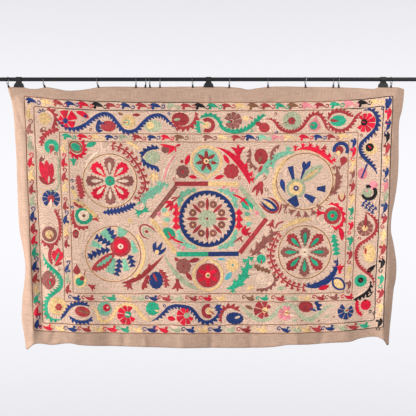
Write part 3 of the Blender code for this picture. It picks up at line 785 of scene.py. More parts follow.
def sew_frame_line(half_width, half_height, corner, width):
    """A running line round a rectangle: dark thread for a part of the outer two, brown elsewhere."""
    points = []
    for centre_a, centre_b, start in ((1, 1, 0), (-1, 1, 90), (-1, -1, 180), (1, -1, 270)):
        for turn in (0, 45, 90):
            angle = math.radians(start + turn)
            a = centre_a * (half_width - corner) + corner * math.cos(angle)
            b = centre_b * (half_height - corner) + corner * math.sin(angle)
            points.append((a, b))
    points.append(points[0])
    route = []
    for (a0, b0), (a1, b1) in zip(points, points[1:]):
        run = math.hypot(a1 - a0, b1 - b0)
        parts = max(1, round(run / LINE_STEP))
        for i in range(parts):
            share = i / parts
            a = a0 + (a1 - a0) * share
            b = b0 + (b1 - b0) * share
            wobble = LINE_WOBBLE * math.sin(31 * a + 17 * b) + LINE_TREMBLE * math.sin(83 * a - 61 * b)
            on_side = abs(a) > half_width * LINE_STRAIGHT
            on_end = abs(b) > half_height * LINE_STRAIGHT
            route.append((a + wobble * on_side, b + wobble * on_end))
    route = np.array(route)
    dark = is_dark_line(route, half_width)
    for thread, chosen in (("black", dark), ("brown", ~dark)):
        for run in runs_of(chosen):
            path = route[[i % len(route) for i in run]]
            half = np.full(len(path), width * CHART_SQUARE / 2)
            band(thread, path, half, half, closed=chosen.all())


def is_dark_line(route, half_width):
    """The outer two lines are dark along the top left, at the top right and down the right side."""
    a, b = route[:, 0], route[:, 1]
    if half_width < DARK_LINES_FROM:
        return np.zeros(len(route), dtype=bool)
    top = b > DARK_TOP_FROM
    right = a > DARK_LINES_FROM
    top_left = top & (a > -DARK_CORNER_FROM) & (a < DARK_TOP_LEFT_TO)
    top_right = top & (a > DARK_CORNER_FROM)
    low_right = (b < -DARK_TOP_FROM) & (a > DARK_CORNER_FROM)
    return top_left | top_right | right | low_right


def runs_of(chosen):
    """Lists of neighbouring places that are chosen, each one place longer so that runs meet."""
    count = len(chosen)
    if chosen.all():
        return [list(range(count))]
    starts = [i for i in range(count) if chosen[i] and not chosen[i - 1]]
    runs = []
    for start in starts:
        end = start
        while chosen[end % count]:
            end += 1
        runs.append(list(range(start, end + 1)))
    return runs


def sew_bud(thread, place, angle, size=1.0):
    """A bird-like bud: a long body, a foot towards the middle of the cloth, and a spiral tail."""
    def at(along, out):
        return place + turned(along * size, angle) + turned(out * size, angle + 90)

    stroke(thread, [at(*point) for point in BUD_BODY], BUD_BODY_WIDTH * size, "bud_body", step=BUD_STEP)
    stroke(thread, [at(*point) for point in BUD_FOOT], BUD_FOOT_WIDTH * size, "drop", step=BUD_STEP)
    curl_at(thread, at(*BUD_TAIL), angle + BUD_TAIL_TURN, BUD_TAIL_SIZE * size, 1, BUD_TAIL_WIDTH)


def sew_buds(text, side, half_width, half_height, size):
    """Buds along one side of a band, from their thread and place in squares."""
    for number, entry in enumerate(text.split(",")):
        thread, mark = entry.split()
        if side in BAND_ROWS:
            across = lay(float(mark), BAND_ROWS[side])[0]
            place, angle = ((across, half_height), 0) if side == "top" else ((across, -half_height), 180)
        else:
            up = lay(BAND_COLUMNS[side], float(mark))[1]
            place, angle = ((half_width, up), 270) if side == "right" else ((-half_width, up), 90)
        tilt = BUD_TILT * math.sin(2.4 * number)
        change = 1 + BUD_SIZE_CHANGE * math.sin(1.7 * number)
        sew_bud(thread, np.array(place), angle + tilt, size * change)


def sew_bands():
    """The four frame lines, the buds of both bands, and the blue bud in the top right corner."""
    for line in FRAME_LINES:
        sew_frame_line(*line)
    for half_width, half_height, size, texts in BANDS:
        for side, text in zip(("top", "right", "bottom", "left"), texts):
            sew_buds(text, side, half_width, half_height, size)
    leaf_at("blue", lay(388, 101), 9, 250, 4.4, shape="bud")
    curl("blue", 384, 108, 200, 1.8)


def sew_top_border():
    """The vine, rosettes and pods above the field, from left to right."""
    curl("blue", 38, 111.5, 20, 1.8)
    curl("blue", 45, 110, 180, 1.6, -1)
    disc("yellow", 44.5, 118.5, 5.8, 12, 0.06)
    vine("brick", "46,109 51,111 54.5,117 53.5,124 51,128.5", 1.8, (1, 2.4, 3.0))
    vine("brick", "59,129 52,130.5 45.5,134 42,139 41,146", 1.7, (0, 1.7, 2.8))
    leaf("maroon", 40, 132, 45, 127.5, 3.6)
    disc("cream", 43.6, 128.8, 1.1, layer=1)
    fan_rosette("crimson", "blue", 67, 118.6, 8.8, 6, 5, 360, 0.3, (-2.2, 1.9))
    leaf("crimson", 75.5, 111.2, 88, 117.5, 4.2, 1.0)
    disc("blue", 84.5, 115.5, 1.5, layer=1)
    vine("blue", "55,118 61,124 68,127.5 76,127.3 84,123.5 91,118 98,113.6 105,112.4 111,115 117,122.5 "
                 "122,128.5 128,130.4 135,128.4 141,122.5 148,116 156,113.4 163,114.8 169,120.5 176.5,128",
                 2.3, (-1, 2.0, 2.8))
    vine("blue", "98.6,118.6 96.8,123.5 96,127.5 98,132", 2.6, (1, 2.6, 4.0))
    pod("brick", 107.3, 125.3, 15.5, 11.2, 0, lobes=18)
    leaf("blue", 99.5, 121.6, 104.5, 123.2, 1.4, layer=1)
    curl("brown", 88, 129, 30, 1.5)
    disc("yellow", 127.5, 120.5, 7.0, 12, 0.08)
    disc("mint", 126, 121.5, 3.0, layer=1)
    disc("yellow", 126, 121.5, 1.9, layer=2)
    leaf("brick", 122, 121.5, 126.5, 121.5, 0.8, layer=3)
    leaf("brick", 131.5, 114, 139.5, 113.6, 2.6)
    leaf("brown", 117, 112, 122, 114, 2.2)
    pod("sage", 152.3, 125, 17.5, 13, 0, lobes=14)
    disc("yellow", 149.5, 124.5, 3.9, 10, 0.1, layer=1)
    curl("blue", 168, 114, 90, 1.5)
    pod("brick", 180, 117.8, 17.5, 13.8, -8, "sage", 188, lobes=14)
    vine("brick", "195,110 195.6,114.5 194,119.5 190.2,124 184,126.2 177.5,125.2 171.5,119",
                  2.0, (1, 2.4, 3.2))
    vine("green", "200.2,132 198.8,127.5 198.2,123 198.6,119.5", 2.2, (1, 2.2, 2.4))
    vine("green", "199.8,117 204,114.8 209,114 213.5,115 217.5,118 220.5,122.5 222,128", 2.2, (1, 1.4, 3.2))
    arc("brick", 207.4, 123.8, 5.6, 3.2, 130, -125)
    disc("yellow", 206, 123.6, 3.2, 8, 0.1)
    leaf("green", 197.5, 119.5, 206, 123.5, 1.0, layer=1)
    vine("green", "218.5,124 225,128.5 233,130.6 242,130 250,126.5 257,120.5 262,116 267.5,113.5",
                  2.7, (1, 1.8, 3.4))
    fan_rosette("maroon", "brick", 233.5, 119.2, 8.6, 9, -160, 320, 0.2, (-2.2, 1))
    leaf("green", 226.5, 120.5, 231.5, 120.8, 1.3, layer=2)
    leaf("yellow", 243, 116, 250, 118, 4)
    leaf("brick", 250, 115, 254, 118, 1.0)
    curl("green", 251, 130, 30, 1.6)
    pod("brick", 265, 126.5, 11.5, 10, -15, lobes=12)
    leaf("brick", 256, 121.5, 263, 124, 4.0)
    vine("brick", "266,118 272,118.6 276.5,122 279.5,126.5 285,130.2 292,131.2 299,129.8 304.5,125.4 "
                  "308.5,119.5 312,115.4 317,113.4 321.5,115.5 325,121 327.5,127.5 332,131.2",
                  1.9, (1, 1.8, 2.6))
    curl("brown", 276, 114.5, 90, 1.7)
    curl("blue", 276, 131, 10, 1.5)
    disc("sage", 293, 120, 9.4, 16, 0.08)
    disc("brick", 292.6, 119.8, 3.9, 8, 0.14, layer=1)
    disc("brown", 292.6, 119.8, 0.8, layer=2)
    leaf("brown", 283, 122.6, 289.5, 120.6, 0.8, layer=1)
    leaf("pink", 314.5, 130.5, 317.5, 114.5, 10.5, shape="bud")
    disc("green", 314.8, 124.8, 4.0, layer=1)
    leaf("brick", 311.5, 123.5, 315.5, 125, 1.0, layer=2)
    vine("brick", "329,119.5 332,113.6 338,111.2 345,112.2 350,115 354.5,116.4", 1.9, (1, 1.9, 2.6))
    vine("brick", "329,121 333.5,127 340,129.6 347,128 352.5,122.5 357,115.5 362.5,111", 1.9, (-1, 1.8, 2.6))
    disc("green", 339, 120.2, 5.6, 14, 0.1, stretch=1.45)
    leaf("brick", 331, 119.6, 341, 120.8, 2.6, shape="bud", layer=1)
    fan_rosette("crimson", "black", 366.5, 122.5, 9.3, 8, -150, 290, 0.36, (-2, -0.4))
    leaf("crimson", 362, 121.5, 366, 122.5, 0.9, layer=2)
    for x, y in ((362, 136.5), (375.5, 136), (361.5, 159)):
        curl("brown", x, y, 100, 1.5)


def sew_right_border():
    """The vine, rosettes and pods right of the field, from the top down."""
    vine("blue", "363.5,110.6 368.5,109.8 373.5,112 376.8,118 376.6,125.5 373,131.5 367.5,137 362,142.5 "
                 "360.4,148.5 362.5,154.5 367,160 372,165 375.5,170 377.5,174", 2.3, (1, 2.0, 2.8))
    leaf("yellow", 371.5, 155, 371, 138.5, 11, shape="bud")
    disc("black", 370.2, 147.2, 4.2, 10, 0.08, layer=1)
    leaf("crimson", 368.5, 145.5, 372, 148.5, 1.2, layer=2)
    disc("pink", 363.5, 173.5, 5.8, 10, 0.08, stretch=0.85)
    leaf("blue", 368, 163.5, 362.5, 178, 1.5, shape="even", layer=1)
    disc("pink", 374, 185, 4.4, 8, 0.12)
    disc("sage", 368, 192.5, 5.0)
    arc("black", 370, 192.5, 6.3, 3.0, 120, -165)
    disc("pink", 367.5, 190.5, 1.3, layer=1)
    twig_vine("blue", "363,201.5 366.5,204 370.5,207 375.5,211", 0.7, 4, 5.0)
    fan_rosette("maroon", "yellow", 366, 228.3, 8.2, 9, 0, 360, 0.36)
    leaf("brick", 367, 213, 366.5, 228.5, 2.4, shape="leaf", layer=2)
    vine("brick", "365.5,211.5 370,214.5 375.5,220 377,227 374,234 367.5,239.5 360.5,244.5 357,251.5 "
                  "356.8,259 359.5,266 364.5,271 370,275.5 373.5,280.5 374.5,286.5", 1.9, (1, 1.6, 2.5))
    pod("yellow", 370.4, 253.6, 12.5, 20, 8, lobes=10)
    leaf("brick", 367, 248, 366, 254.5, 2.2, layer=1)
    curl("brown", 364, 249, 60, 1.6)
    curl("brick", 361, 240, 120, 1.7)
    leaf("black", 377.5, 264, 367.5, 273, 4.0, shape="drop")
    disc("brick", 370, 270.5, 0.9, layer=1)
    disc("green", 361.5, 281, 6.5, 12, 0.08)
    disc("black", 361.5, 280.6, 3.0, 8, 0.1, layer=1)
    leaf("brick", 363, 282, 360, 279.5, 1.0, layer=2)
    vine("black", "370.5,280.5 370.5,287 367,292.5 361.5,296.5 353.5,300.5", 2.2, (1, 2.0, 3.0), "blade")
    leaf("black", 374.5, 291, 366.5, 297.5, 3.4, shape="drop")
    leaf("cream", 371.5, 293.3, 368.5, 295.8, 1.2, layer=1)
    disc("crimson", 366.2, 305.2, 5.6, 10, 0.06, stretch=0.95)
    leaf("black", 366.5, 299.5, 365, 301.5, 1.8, layer=1)
    vine("crimson", "357.8,300 357.2,306 358.2,312 362.5,316.6", 2.3, (1, 1.4, 2.6))
    curl("black", 369, 313, 60, 1.9)
    curl("black", 374, 314.5, 80, 1.7, -1)


def sew_left_border():
    """The vine, rosettes and pods left of the field, from the top down."""
    arc("green", 51, 146.5, 5.0, 3.7, -50, 245)
    disc("maroon", 51.2, 148, 3.2, 8, 0.1)
    leaf("crimson", 49.6, 153.5, 51, 147.5, 1.2, layer=1)
    leaf("maroon", 39, 161.5, 44, 155.5, 3.4)
    disc("cream", 43, 156.6, 1.0, layer=1)
    curl("brown", 56.5, 154.5, 150, 1.8)
    for x0, y0, x1, y1 in ((47, 183.5, 39.5, 161), (47.4, 183.5, 45.8, 160), (47.8, 183.5, 51, 163)):
        leaf("crimson", x0, y0, x1, y1, 6.2, shape="leaf")
    leaf("cream", 47.8, 183.2, 48.6, 175.5, 1.7, layer=2)
    leaf("brick", 38.5, 176, 46.5, 184.6, 4.0)
    leaf("brick", 46.5, 184.6, 54.5, 178.5, 2.8)
    vine("sage", "55.5,153 58,162 57,172 58,182 55,190 50,191 44,189", 0.6, (0, 0.8, 2.4))
    fan_rosette("blue", "brick", 50.2, 198.6, 9.0, 8, -60, 300, 0.4)
    leaf("cream", 50.2, 199, 50.2, 207.5, 2.0, layer=2)
    vine("brick", "53,209.5 56,215 58.2,222 58.8,230 57.5,238 53.5,243.5", 1.8, (1, 1.5, 2.4))
    for x in (54.5, 56.5, 58.5):
        leaf("brick", x - 1.5, 213, x, 208.5, 0.9)
    vine("brick", "40.5,239.5 45,243.6 51.5,244.4 57,241.5", 1.7, (-1, 2.0, 2.7))
    vine("brick", "52,244 49.5,250 48.8,257 51,264.5", 2.3, (1, 1.0, 2.4))
    ring("maroon", 48.6, 234.4, 6.0, 2.8)
    disc("yellow", 48.8, 234.8, 4.4, 8, 0.08, layer=0)
    leaf("brick", 49, 234, 51.5, 238.5, 1.1, layer=1)
    for x0, y0, x1, y1 in ((55.5, 264.5, 53.5, 250.5), (55.8, 264.5, 57.6, 248), (56.2, 264.5, 61.5, 252)):
        leaf("crimson", x0, y0, x1, y1, 5.4, shape="drop")
    leaf("green", 54.5, 262.5, 58.5, 252.5, 1.8, layer=1)
    leaf("brick", 53.5, 265.5, 61.5, 263, 2.8)
    vine("green", "42,253.5 45.5,261.5 51.5,268.5 58,274.5 61.3,281.5 59.8,288.5 54,293.5 48.5,298.5 "
                  "46.2,306 47.6,314 52.5,319 61.5,319.6", 2.4, (-1, 2.2, 2.9))
    leaf("maroon", 48.5, 290, 47.4, 270.5, 12.4, shape="leaf")
    disc("brick", 50.3, 282.4, 3.5, stretch=1.25, layer=1)
    leaf("green", 48.6, 280.5, 50.8, 285.5, 1.5, layer=2)
    curl("brown", 60, 270, 200, 1.4)
    disc("yellow", 57.5, 306.5, 9.6, 18, 0.06)
    disc("brick", 58.6, 307.2, 3.9, 6, 0.2, layer=1)
    disc("brown", 58.6, 307.2, 1.0, layer=2)
    curl("brown", 45.5, 317.5, 90, 1.5)


def sew_bottom_border():
    """The vine, rosettes and pods below the field, from left to right."""
    vine("blue", "60.5,320 64.5,314.5 69,308.5 74.5,305 81.5,304.4 88.8,307", 2.1, (1, 2.0, 2.7))
    vine("blue", "69,316 74.5,320 81,321.8 87.5,321 91.5,317", 2.0, (-1, 1.9, 2.7))
    pod("brick", 82, 312, 15.5, 10.4, -12)
    leaf("brown", 77, 310.5, 89.5, 314, 2.0, layer=1)
    vine("yellow", "90,307 96,312 98,319 104,322.5 111,318.5 116,310 124,306 134,308 140,316 146,321 "
                   "151,321.5", 1.8, (0, 1.0, 2.6))
    disc("mint", 103.5, 309.5, 7.4, 12, 0.1)
    disc("crimson", 105.5, 308.8, 4.0, 7, 0.16, layer=1)
    disc("cream", 106.5, 308.5, 1.1, layer=2)
    fan_rosette("crimson", "green", 125.6, 316, 9.8, 7, 50, 285, 0.36, (1.4, -0.4))
    leaf("cream", 124, 315, 129, 316.5, 1.6, layer=2)
    disc("green", 151.8, 309.8, 7.2, 9, 0.14)
    leaf("yellow", 154, 311.5, 158.5, 312.5, 1.6, layer=1)
    vine("blue", "151,322.5 157,318.8 163,313.8 168,308.8 175,306.6 183,307.2 190,309 195,313.6 "
                 "199.5,319.8 205,323 211,322.2 216.5,318 218.5,312.5 216.5,306.4", 2.2, (-1, 2.1, 3.0))
    curl("blue", 164, 308.5, 110, 1.6)
    leaf("crimson", 167, 319, 175, 320.6, 4.2)
    fan_rosette("crimson", "sage", 184.5, 317.5, 8.8, 7, 60, 285, 0.34, (1.8, -0.8))
    arc("brick", 208.5, 312.5, 5.4, 3.2, 75, 300)
    disc("yellow", 209.5, 312.8, 3.4, 8, 0.1)
    leaf("brick", 209, 312, 215, 316, 1.1, layer=1)
    vine("blue", "217,306 218.5,309.5 219,313", 3.4, (0, 1.6, 2.6))
    vine("brick", "221.8,324.5 221,318.5 223.5,312.5 228.5,309 234,309.4 240,313", 1.8, (1, 2.4, 3.2))
    pod("blue", 235, 319.8, 18.5, 12.6, -5, "cream", 20, lobes=14)
    vine("sage", "239,306 246,312 254,319 263,321.5 272,318.5 279,311 287,305.5 296,309 301,316 308,320 "
                 "316,317.5 323,311 330,306.5 337,306.5", 1.8, (0, 1.3, 2.8))
    leaf("brown", 245.5, 307, 253.5, 310.5, 3.0)
    fan_rosette("brick", "yellow", 263, 311, 8.8, 6, 20, 290, 0.34, (2.6, 0.4))
    leaf("brown", 262, 311, 269, 314.5, 1.0, layer=2)
    fan_rosette("pink", "yellow", 286, 313.8, 7.6, 6, 50, 270, 0.34, (1.6, 0))
    leaf("brick", 285, 313, 290.5, 314.5, 1.0, layer=2)
    pod("brick", 306.6, 307.4, 15.5, 11.6, -6, lobes=10)
    leaf("blue", 310.5, 309, 317.5, 312, 1.8, layer=1)
    vine("blue", "315.5,302 318.5,306.5 318.8,311.5", 2.4, (1, 2.2, 2.8))
    for x, y in ((301, 322), (318, 322.5), (333, 318)):
        leaf("brown", x, y, x + 2.6, y - 1.6, 1.1)
        leaf("sage", x - 8, y, x - 3, y - 2, 2.2)
    fan_rosette("blue", "sage", 346, 312, 8.4, 7, 120, 290, 0.32, (1.0, -1.0))
    leaf("crimson", 345.5, 311.5, 349.5, 310, 1.4, layer=2)


def bar(thread, x0, y0, x1, y1, width=3.8):
    """A straight bar between two chart places."""
    stroke(thread, (lay(x0, y0), lay((x0 + x1) / 2, (y0 + y1) / 2), lay(x1, y1)), width, step=2 * STITCH_STEP)


def sew_centre():
    """The hexagon of bars, the centre medallion, and the sprays between them."""
    bar("brick", 174, 183.4, 207.8, 183.2)
    bar("yellow", 208.2, 183.2, 239.5, 184.0)
    bar("maroon", 175.6, 185.6, 150.4, 218.2)
    bar("yellow", 151, 219.8, 175, 253.5)
    bar("green", 176, 255, 207.8, 255)
    bar("blue", 208.2, 255, 239.2, 254.6)
    bar("brick", 267.6, 218.8, 240.4, 253.8)
    bar("sage", 240.8, 186.2, 265.8, 217.6)
    x, y = 207.2, 219
    ring("yellow", x, y, 29.7, 0.5)
    ring("blue", x, y, 26.9, 2.5, teeth=(1, 1.9, 4.3))
    disc("sage", x, y, 8.7, 18, 0.05, stretch=1.1)
    disc("brick", x, y, 1.3, layer=1)
    petals("brick", x, y, 8.2, 21.0, 2.9, round_angles(8, 0), "leaf")
    centre = lay(x, y)
    for angle in round_angles(8, 22.5):
        spot = centre + turned(15.6, angle)
        disc_at("maroon", spot, 3.9, 9, 0.12)
        disc_at("yellow", spot, 0.95, layer=1)
    for angle in (135, 45, -45, -135):
        middle = centre + turned(32.5, angle)
        ends = [middle + turned(13.5, angle + 90), middle - turned(13.5, angle + 90)]
        bow = middle + turned(1.6, angle)
        pull = [end - turned(4.5, angle) for end in ends]
        stroke("mint", (pull[0], bow, pull[1]), 2.9, "leaf", (0, 1.4, 4.6))
    for side, x0 in ((-1, 175.8), (1, 239.6)):
        ys = (202.5, 209, 216.5, 224, 231) if side < 0 else (208.5, 214, 219.5, 225, 231)
        points = [lay(x0, row) for row in ys]
        stroke("crimson", points, 2.0, "vine", (0, 2.0, 5.2), step=0.8 * STITCH_STEP)
        stroke("crimson", points, 2.4, "vine", (-side, 2.2, 5.2), step=0.8 * STITCH_STEP)
    tulip("crimson", "crimson", 167.6, 205.6, 215, 10)
    tulip("crimson", "crimson", 247.4, 231, 35, 10)
    for x0, y0, x1, y1 in ((181, 194, 163.5, 209), (176, 196.5, 170, 199), (172, 204, 170.5, 211.5)):
        leaf("brick", x0, y0, x1, y1, 1.5)
    for x0, y0, x1, y1 in ((233.5, 243.5, 244, 236), (245, 226.5, 251, 238.5), (240, 238, 243.5, 243)):
        leaf("brick", x0, y0, x1, y1, 1.6)
    leaf("green", 162.6, 229, 174.6, 238.6, 8.6)
    stroke("crimson", chart_points("167,231.5 171.5,238.2 177,241.8 184,243.6"), 1.6, "vine", layer=1)
    leaf("crimson", 167.5, 240.5, 174.5, 236.6, 1.5, layer=2)
    leaf("green", 253.4, 209.4, 242.4, 198.6, 8.6)
    stroke("crimson", chart_points("249.6,206.6 245,200.8 239.5,196.6 232.5,194"), 1.7, "vine", layer=1)
    leaf("crimson", 240.5, 202.6, 246.8, 197, 1.5, layer=2)
    for x0, y0, reach, angle, thread in (
        (160.8, 213, 5.5, 50, "mint"), (162.2, 215.5, 6, 15, "yellow"), (161.5, 219.5, 6.5, -5, "mint"),
        (160.5, 222.5, 6, -30, "yellow"), (158, 217.5, 5, 90, "pink"),
        (252.8, 211.5, 5.5, 120, "yellow"), (252.2, 215, 6, 165, "mint"), (252.6, 218.5, 6, 185, "yellow"),
        (253.6, 222.5, 6, 205, "mint"), (256.4, 216, 4.6, 60, "pink"),
    ):
        leaf_at(thread, lay(x0, y0), 1.2 * reach, angle, 3.9, shape="drop")
    for x0, y0 in ((178.5, 246.5), (183, 248.5), (232.5, 189.5), (237, 190.5), (224, 186.5)):
        sprig("pink", x0, y0, 70, 5.2)


def sew_middle_rosettes():
    """The two rosettes above and below the hexagon, each in a pale pointed ring."""
    rosettes = (
        # place, ground thread, star thread, star's points, and 1 where the ring's tip points up
        (206.3, 160.2, "mint", "brick", 7, 1),
        (208, 276.6, "brick", "crimson", 6, -1),
    )
    for x, y, ground, star_thread, points, tip in rosettes:
        disc(ground, x, y, 12.4, 24, 0.03)
        star(star_thread, x, y, 11.2, points, layer=1)
        disc("yellow", x, y, 2.7, layer=2)
        disc("blue", x, y, 1.0, layer=3)
        points_round = arc_points(lay(x, y), 14.8, -90 * tip, 270 * tip)[:-1]
        points_round[0] = lay(x, y) - turned(17.6, 90 * tip)
        stroke("yellow", points_round, 2.0, closed=True)
    flower = (
        ("maroon", 182.3, 171, 6.8, "crimson"), ("brick", 231.8, 170.6, 7.8, "crimson"),
        ("maroon", 183.2, 267, 8.0, "brick"), ("yellow", 233, 266.3, 7.0, "turquoise"),
    )
    for thread, x, y, radius, heart in flower:
        disc(thread, x, y, radius, 9, 0.13)
        disc(heart, x, y, 1.2, layer=1)
    leaf("crimson", 185, 164.5, 189, 153.5, 4.0)
    leaf("crimson", 188.5, 176, 196.8, 177.5, 3.2, 0.5)
    leaf("crimson", 224, 153.5, 229.5, 163, 3.6)
    leaf("crimson", 214.5, 178, 224.5, 175, 3.4)
    disc("brick", 181.5, 160.8, 1.7)
    curl("brick", 175.5, 178, 210, 1.8)
    curl("brick", 241, 176, 250, 1.8)
    leaf("brick", 188.5, 262.5, 199.5, 260, 3.8)
    leaf("brick", 185.5, 273, 191.5, 281.5, 3.6)
    leaf("brick", 174, 258.5, 178, 262, 3.0)
    leaf("turquoise", 217.5, 260, 226, 260.3, 2.2)
    leaf("turquoise", 225.5, 281.5, 232, 273.5, 4.4)


def sew_above_hexagon():
    """Leaves, branches and tulips between the hexagon and the top border."""
    vine("blue", "158.5,147.4 152,147.4 146,149.4 142.4,152.6 140.6,157", 2.4, (-1, 1.9, 3.0))
    vine("blue", "140.6,157 144.5,162 150,165 155,166.6 159,170.5", 2.4, (-1, 1.9, 3.0))
    pod("sage", 151.4, 156.6, 16, 13.5, 10, lobes=12)
    disc("maroon", 164.6, 148.4, 4.0, 7, 0.08)
    leaf("crimson", 159.4, 143.2, 175.5, 146.2, 2.6, -0.6, layer=1)
    leaf("crimson", 173, 144.6, 166.6, 154, 4.0, 0.5, "bud", layer=1)
    leaf("crimson", 173.5, 146.4, 179.8, 143, 2.0, shape="drop")
    leaf("crimson", 174.5, 146, 175.4, 151.5, 1.3)
    for thread, shift in (("cream", 0), ("pink", 2.3), ("cream", 4.6)):
        vine(thread, f"{160.5 + shift},181 {164.5 + shift},167 {173 + shift},153", 1.2)
    tulip("yellow", "yellow", 152.8, 177.5, 265, 9.5)
    sprig("yellow", 141, 149, 60, 3.2)
    branch("crimson", "215.5,146 223,148.6 231,153.6 238.5,160.4 244.5,168.4 248.6,176.5 250.8,184", 5.6,
           ((0.62, 1), (0.8, 1), (0.9, 1)), 7.4)
    sprig("crimson", 238.8, 150.5, 92, 15)
    vine("maroon", "250.6,147 251.4,152.5 250.6,158.5 253,164 258.5,168", 1.6, (-1, 2.4, 3.8))
    vine("maroon", "281,143.6 275,147.5 271.8,153.5 271.6,160 268.4,165.5", 1.5, (1, 2.3, 3.8))
    pod("brick", 262, 155.6, 13.5, 16.5, 12, "brown", 250, lobes=9)
    leaf("brick", 263.5, 164.5, 259.5, 172, 3.4)
    branch("mint", "252.5,183 258.5,175.5 264.5,168.6 271,161.5 278,156 286,152.6 296,151.4", 5.2,
           ((0.3, -1), (0.46, -1), (0.86, 1)), 8.0)
    pod("brick", 261, 185.5, 6.6, 9.5, -20)
    tulip("brick", "brick", 258.6, 190.5, 255, 11)
    curl("brown", 267, 187.5, 300, 2.1)
    curl("brown", 264.5, 178.5, 60, 2.1)


def sew_below_hexagon():
    """Leaves, branches and pods between the hexagon and the bottom border."""
    vine("sage", "163,254 167,262.5 173,271.5 180.5,280 189,286.5 198.5,291", 4.2, shape="blade")
    left_and_right = (
        (0.04, 1), (0.1, -1), (0.22, 1), (0.3, -1), (0.42, 1), (0.5, -1), (0.62, 1), (0.7, -1), (0.84, 1),
    )
    branch("green", "249,256 248.5,264 246.5,272.5 242,281 235,287.5 226.5,290.5", 5.4, left_and_right, 6.8)
    tulip("blue", "yellow", 158.5, 248.5, 60, 13)
    leaf("blue", 154, 254, 152.5, 243.5, 2.8)
    branch("brick", "164,255 157.5,262 149.5,269.5 140,277 129.5,282.4 120,284.2", 4.4, ((0.34, -1),), 5.5)
    pod("blue", 155.3, 281.4, 14.6, 18, 0, lobes=12)
    leaf("brick", 152, 274, 156.4, 283, 2.0, layer=1)
    vine("brick", "158.5,270.5 163,276 165.6,283 165,289", 1.6, (0, 2.0, 2.8))
    vine("brick", "147.5,275.5 144.8,281.5 141,290.5", 3.0, (1, 2.0, 3.6))
    sprig("brick", 177, 286.5, 270, 13)
    sprig("brick", 128, 286, 250, 11.0)
    disc("green", 262, 260, 5.0, 9, 0.14)
    leaf("crimson", 262.5, 265, 262.3, 260.5, 1.0, layer=1)
    vine("brown", "255,265.4 259.5,269.4 265.5,270.8 271.5,273.5", 1.9, (0, 1.2, 3.0))
    vine("maroon", "272.8,274.5 275.8,280 273.2,286 266,290 256.5,290.6", 1.5, (1, 1.8, 3.4))
    for radius in (6.6, 4.8, 3.0, 1.4):
        ring("cream", 262.3, 280.2, radius, 0.55)
    leaf("yellow", 247.5, 290.5, 254.5, 288, 3.4)
    stroke("brick", chart_points("156.5,233.5 150.5,228 144.5,225 139.5,226.5 139,232 142,237 "
                                 "148.5,240"), 1.2, "vine")
    stroke("sage", chart_points("153,232.5 148,229.5 143,228.6 141.6,231.5 144,235.5 149,236.5"), 1.2)
    disc("brick", 145.5, 232, 1.7, 5, 0.2)
    disc("yellow", 128.5, 221, 2.4, 5, 0.2)


def medallion_ring(x, y, radius):
    """The fine double line round a corner medallion."""
    ring("brown", x, y, radius, 0.6)
    ring("yellow", x, y, radius - 0.75, 0.35)


def sew_top_left_medallion():
    """Eight drop petals round a green heart, and the sprays beside them."""
    x, y = 108.5, 180.5
    medallion_ring(x, y, 26.8)
    petals("maroon", x, y, 5.5, 24.0, 7.6, round_angles(4, 0), "drop", (0, 1.1, 2.7),
           heart=("cream", 0.66, 0.4))
    petals("crimson", x, y, 5.5, 24.0, 8.2, round_angles(4, 45), "drop", (0, 1.2, 2.7),
           heart=("cream", 0.66, 0.36))
    disc("green", x, y, 5.0, 12, 0.05, layer=1)
    disc("brick", x, y, 1.0, layer=2)
    disc("green", 74.6, 146.5, 3.5, stretch=1.4, tilt=-35)
    ring("brown", 74.6, 146.5, 4.7, 1.5, stretch=1.3, tilt=-35)
    vine("crimson", "69,149.5 71,153 75.5,155.5 80.5,153.5 82.6,148.5 81.5,143 78.5,140.6",
                    2.0, (-1, 2.0, 2.7))
    leaf("green", 84.5, 145.5, 95, 142, 4.2)
    sprig("green", 72.3, 160.8, 90, 8.6)
    twig_vine("brick", "108,144.5 115,145.6 121.5,148.5 127,152.5 131.5,157.5 135.5,163 139,169 142,175.5 "
                       "144.2,183 142.4,190.5 138.5,196.5 135.5,201", 1.6, 12, 5.4)
    vine("yellow", "125,140.5 132,143.6 138,148.6", 1.6, (0, 0.7, 3.0))
    vine("brick", "76.5,174.5 77.5,180 78.5,187 80,192.5 80,199", 3.0, (0, 1.7, 2.4))
    curl("blue", 70.5, 182, 90, 1.8)
    curl("blue", 71, 186, 270, 1.8, -1)
    vine("yellow", "70,200 78,203 88,211 97,219", 2.6, (0, 0.8, 2.6))
    curl("blue", 76.5, 202.5, 100, 1.7)
    curl("blue", 71.5, 208.5, 120, 1.5)
    leaf("cream", 84, 168, 97, 150.5, 2.4, 2.0)
    leaf("yellow", 70, 188, 76, 198, 3.2)


def sew_left_field():
    """The leaves and flowers between the two left medallions."""
    branch("mint", "134,206 142,199 150,193 157.5,187.5 165,181.5", 6.2,
           ((0.2, -1), (0.3, 1), (0.45, -1), (0.58, 1), (0.7, -1), (0.82, 1), (0.92, -1)), 6.4)
    vine("blue", "101,212.8 109,211.8 117,210.6 125,208.2 134.5,203.5", 2.4, (0, 1.8, 2.7))
    sprig("green", 138, 212.5, 200, 9.5)
    sprig("green", 144, 210.2, 30, 9.0)
    ring_flower("green", "cream", "brown", 82.4, 215.8, 8.9)
    vine("brick", "72,201.5 75.5,205.4 80,206.8 84.5,205.6", 2.0, (1, 1.4, 2.6))
    vine("brick", "72.6,209.5 71.6,216 73,222 76,226.4 82,227.6 87.5,226.2", 1.9, (-1, 1.5, 2.8))
    sprig("brick", 94.5, 219, 8, 7.5)
    pod("brick", 74.5, 234, 6.5, 9.0, 0, lobes=8)
    disc("maroon", 75, 234.5, 1.8, layer=1)


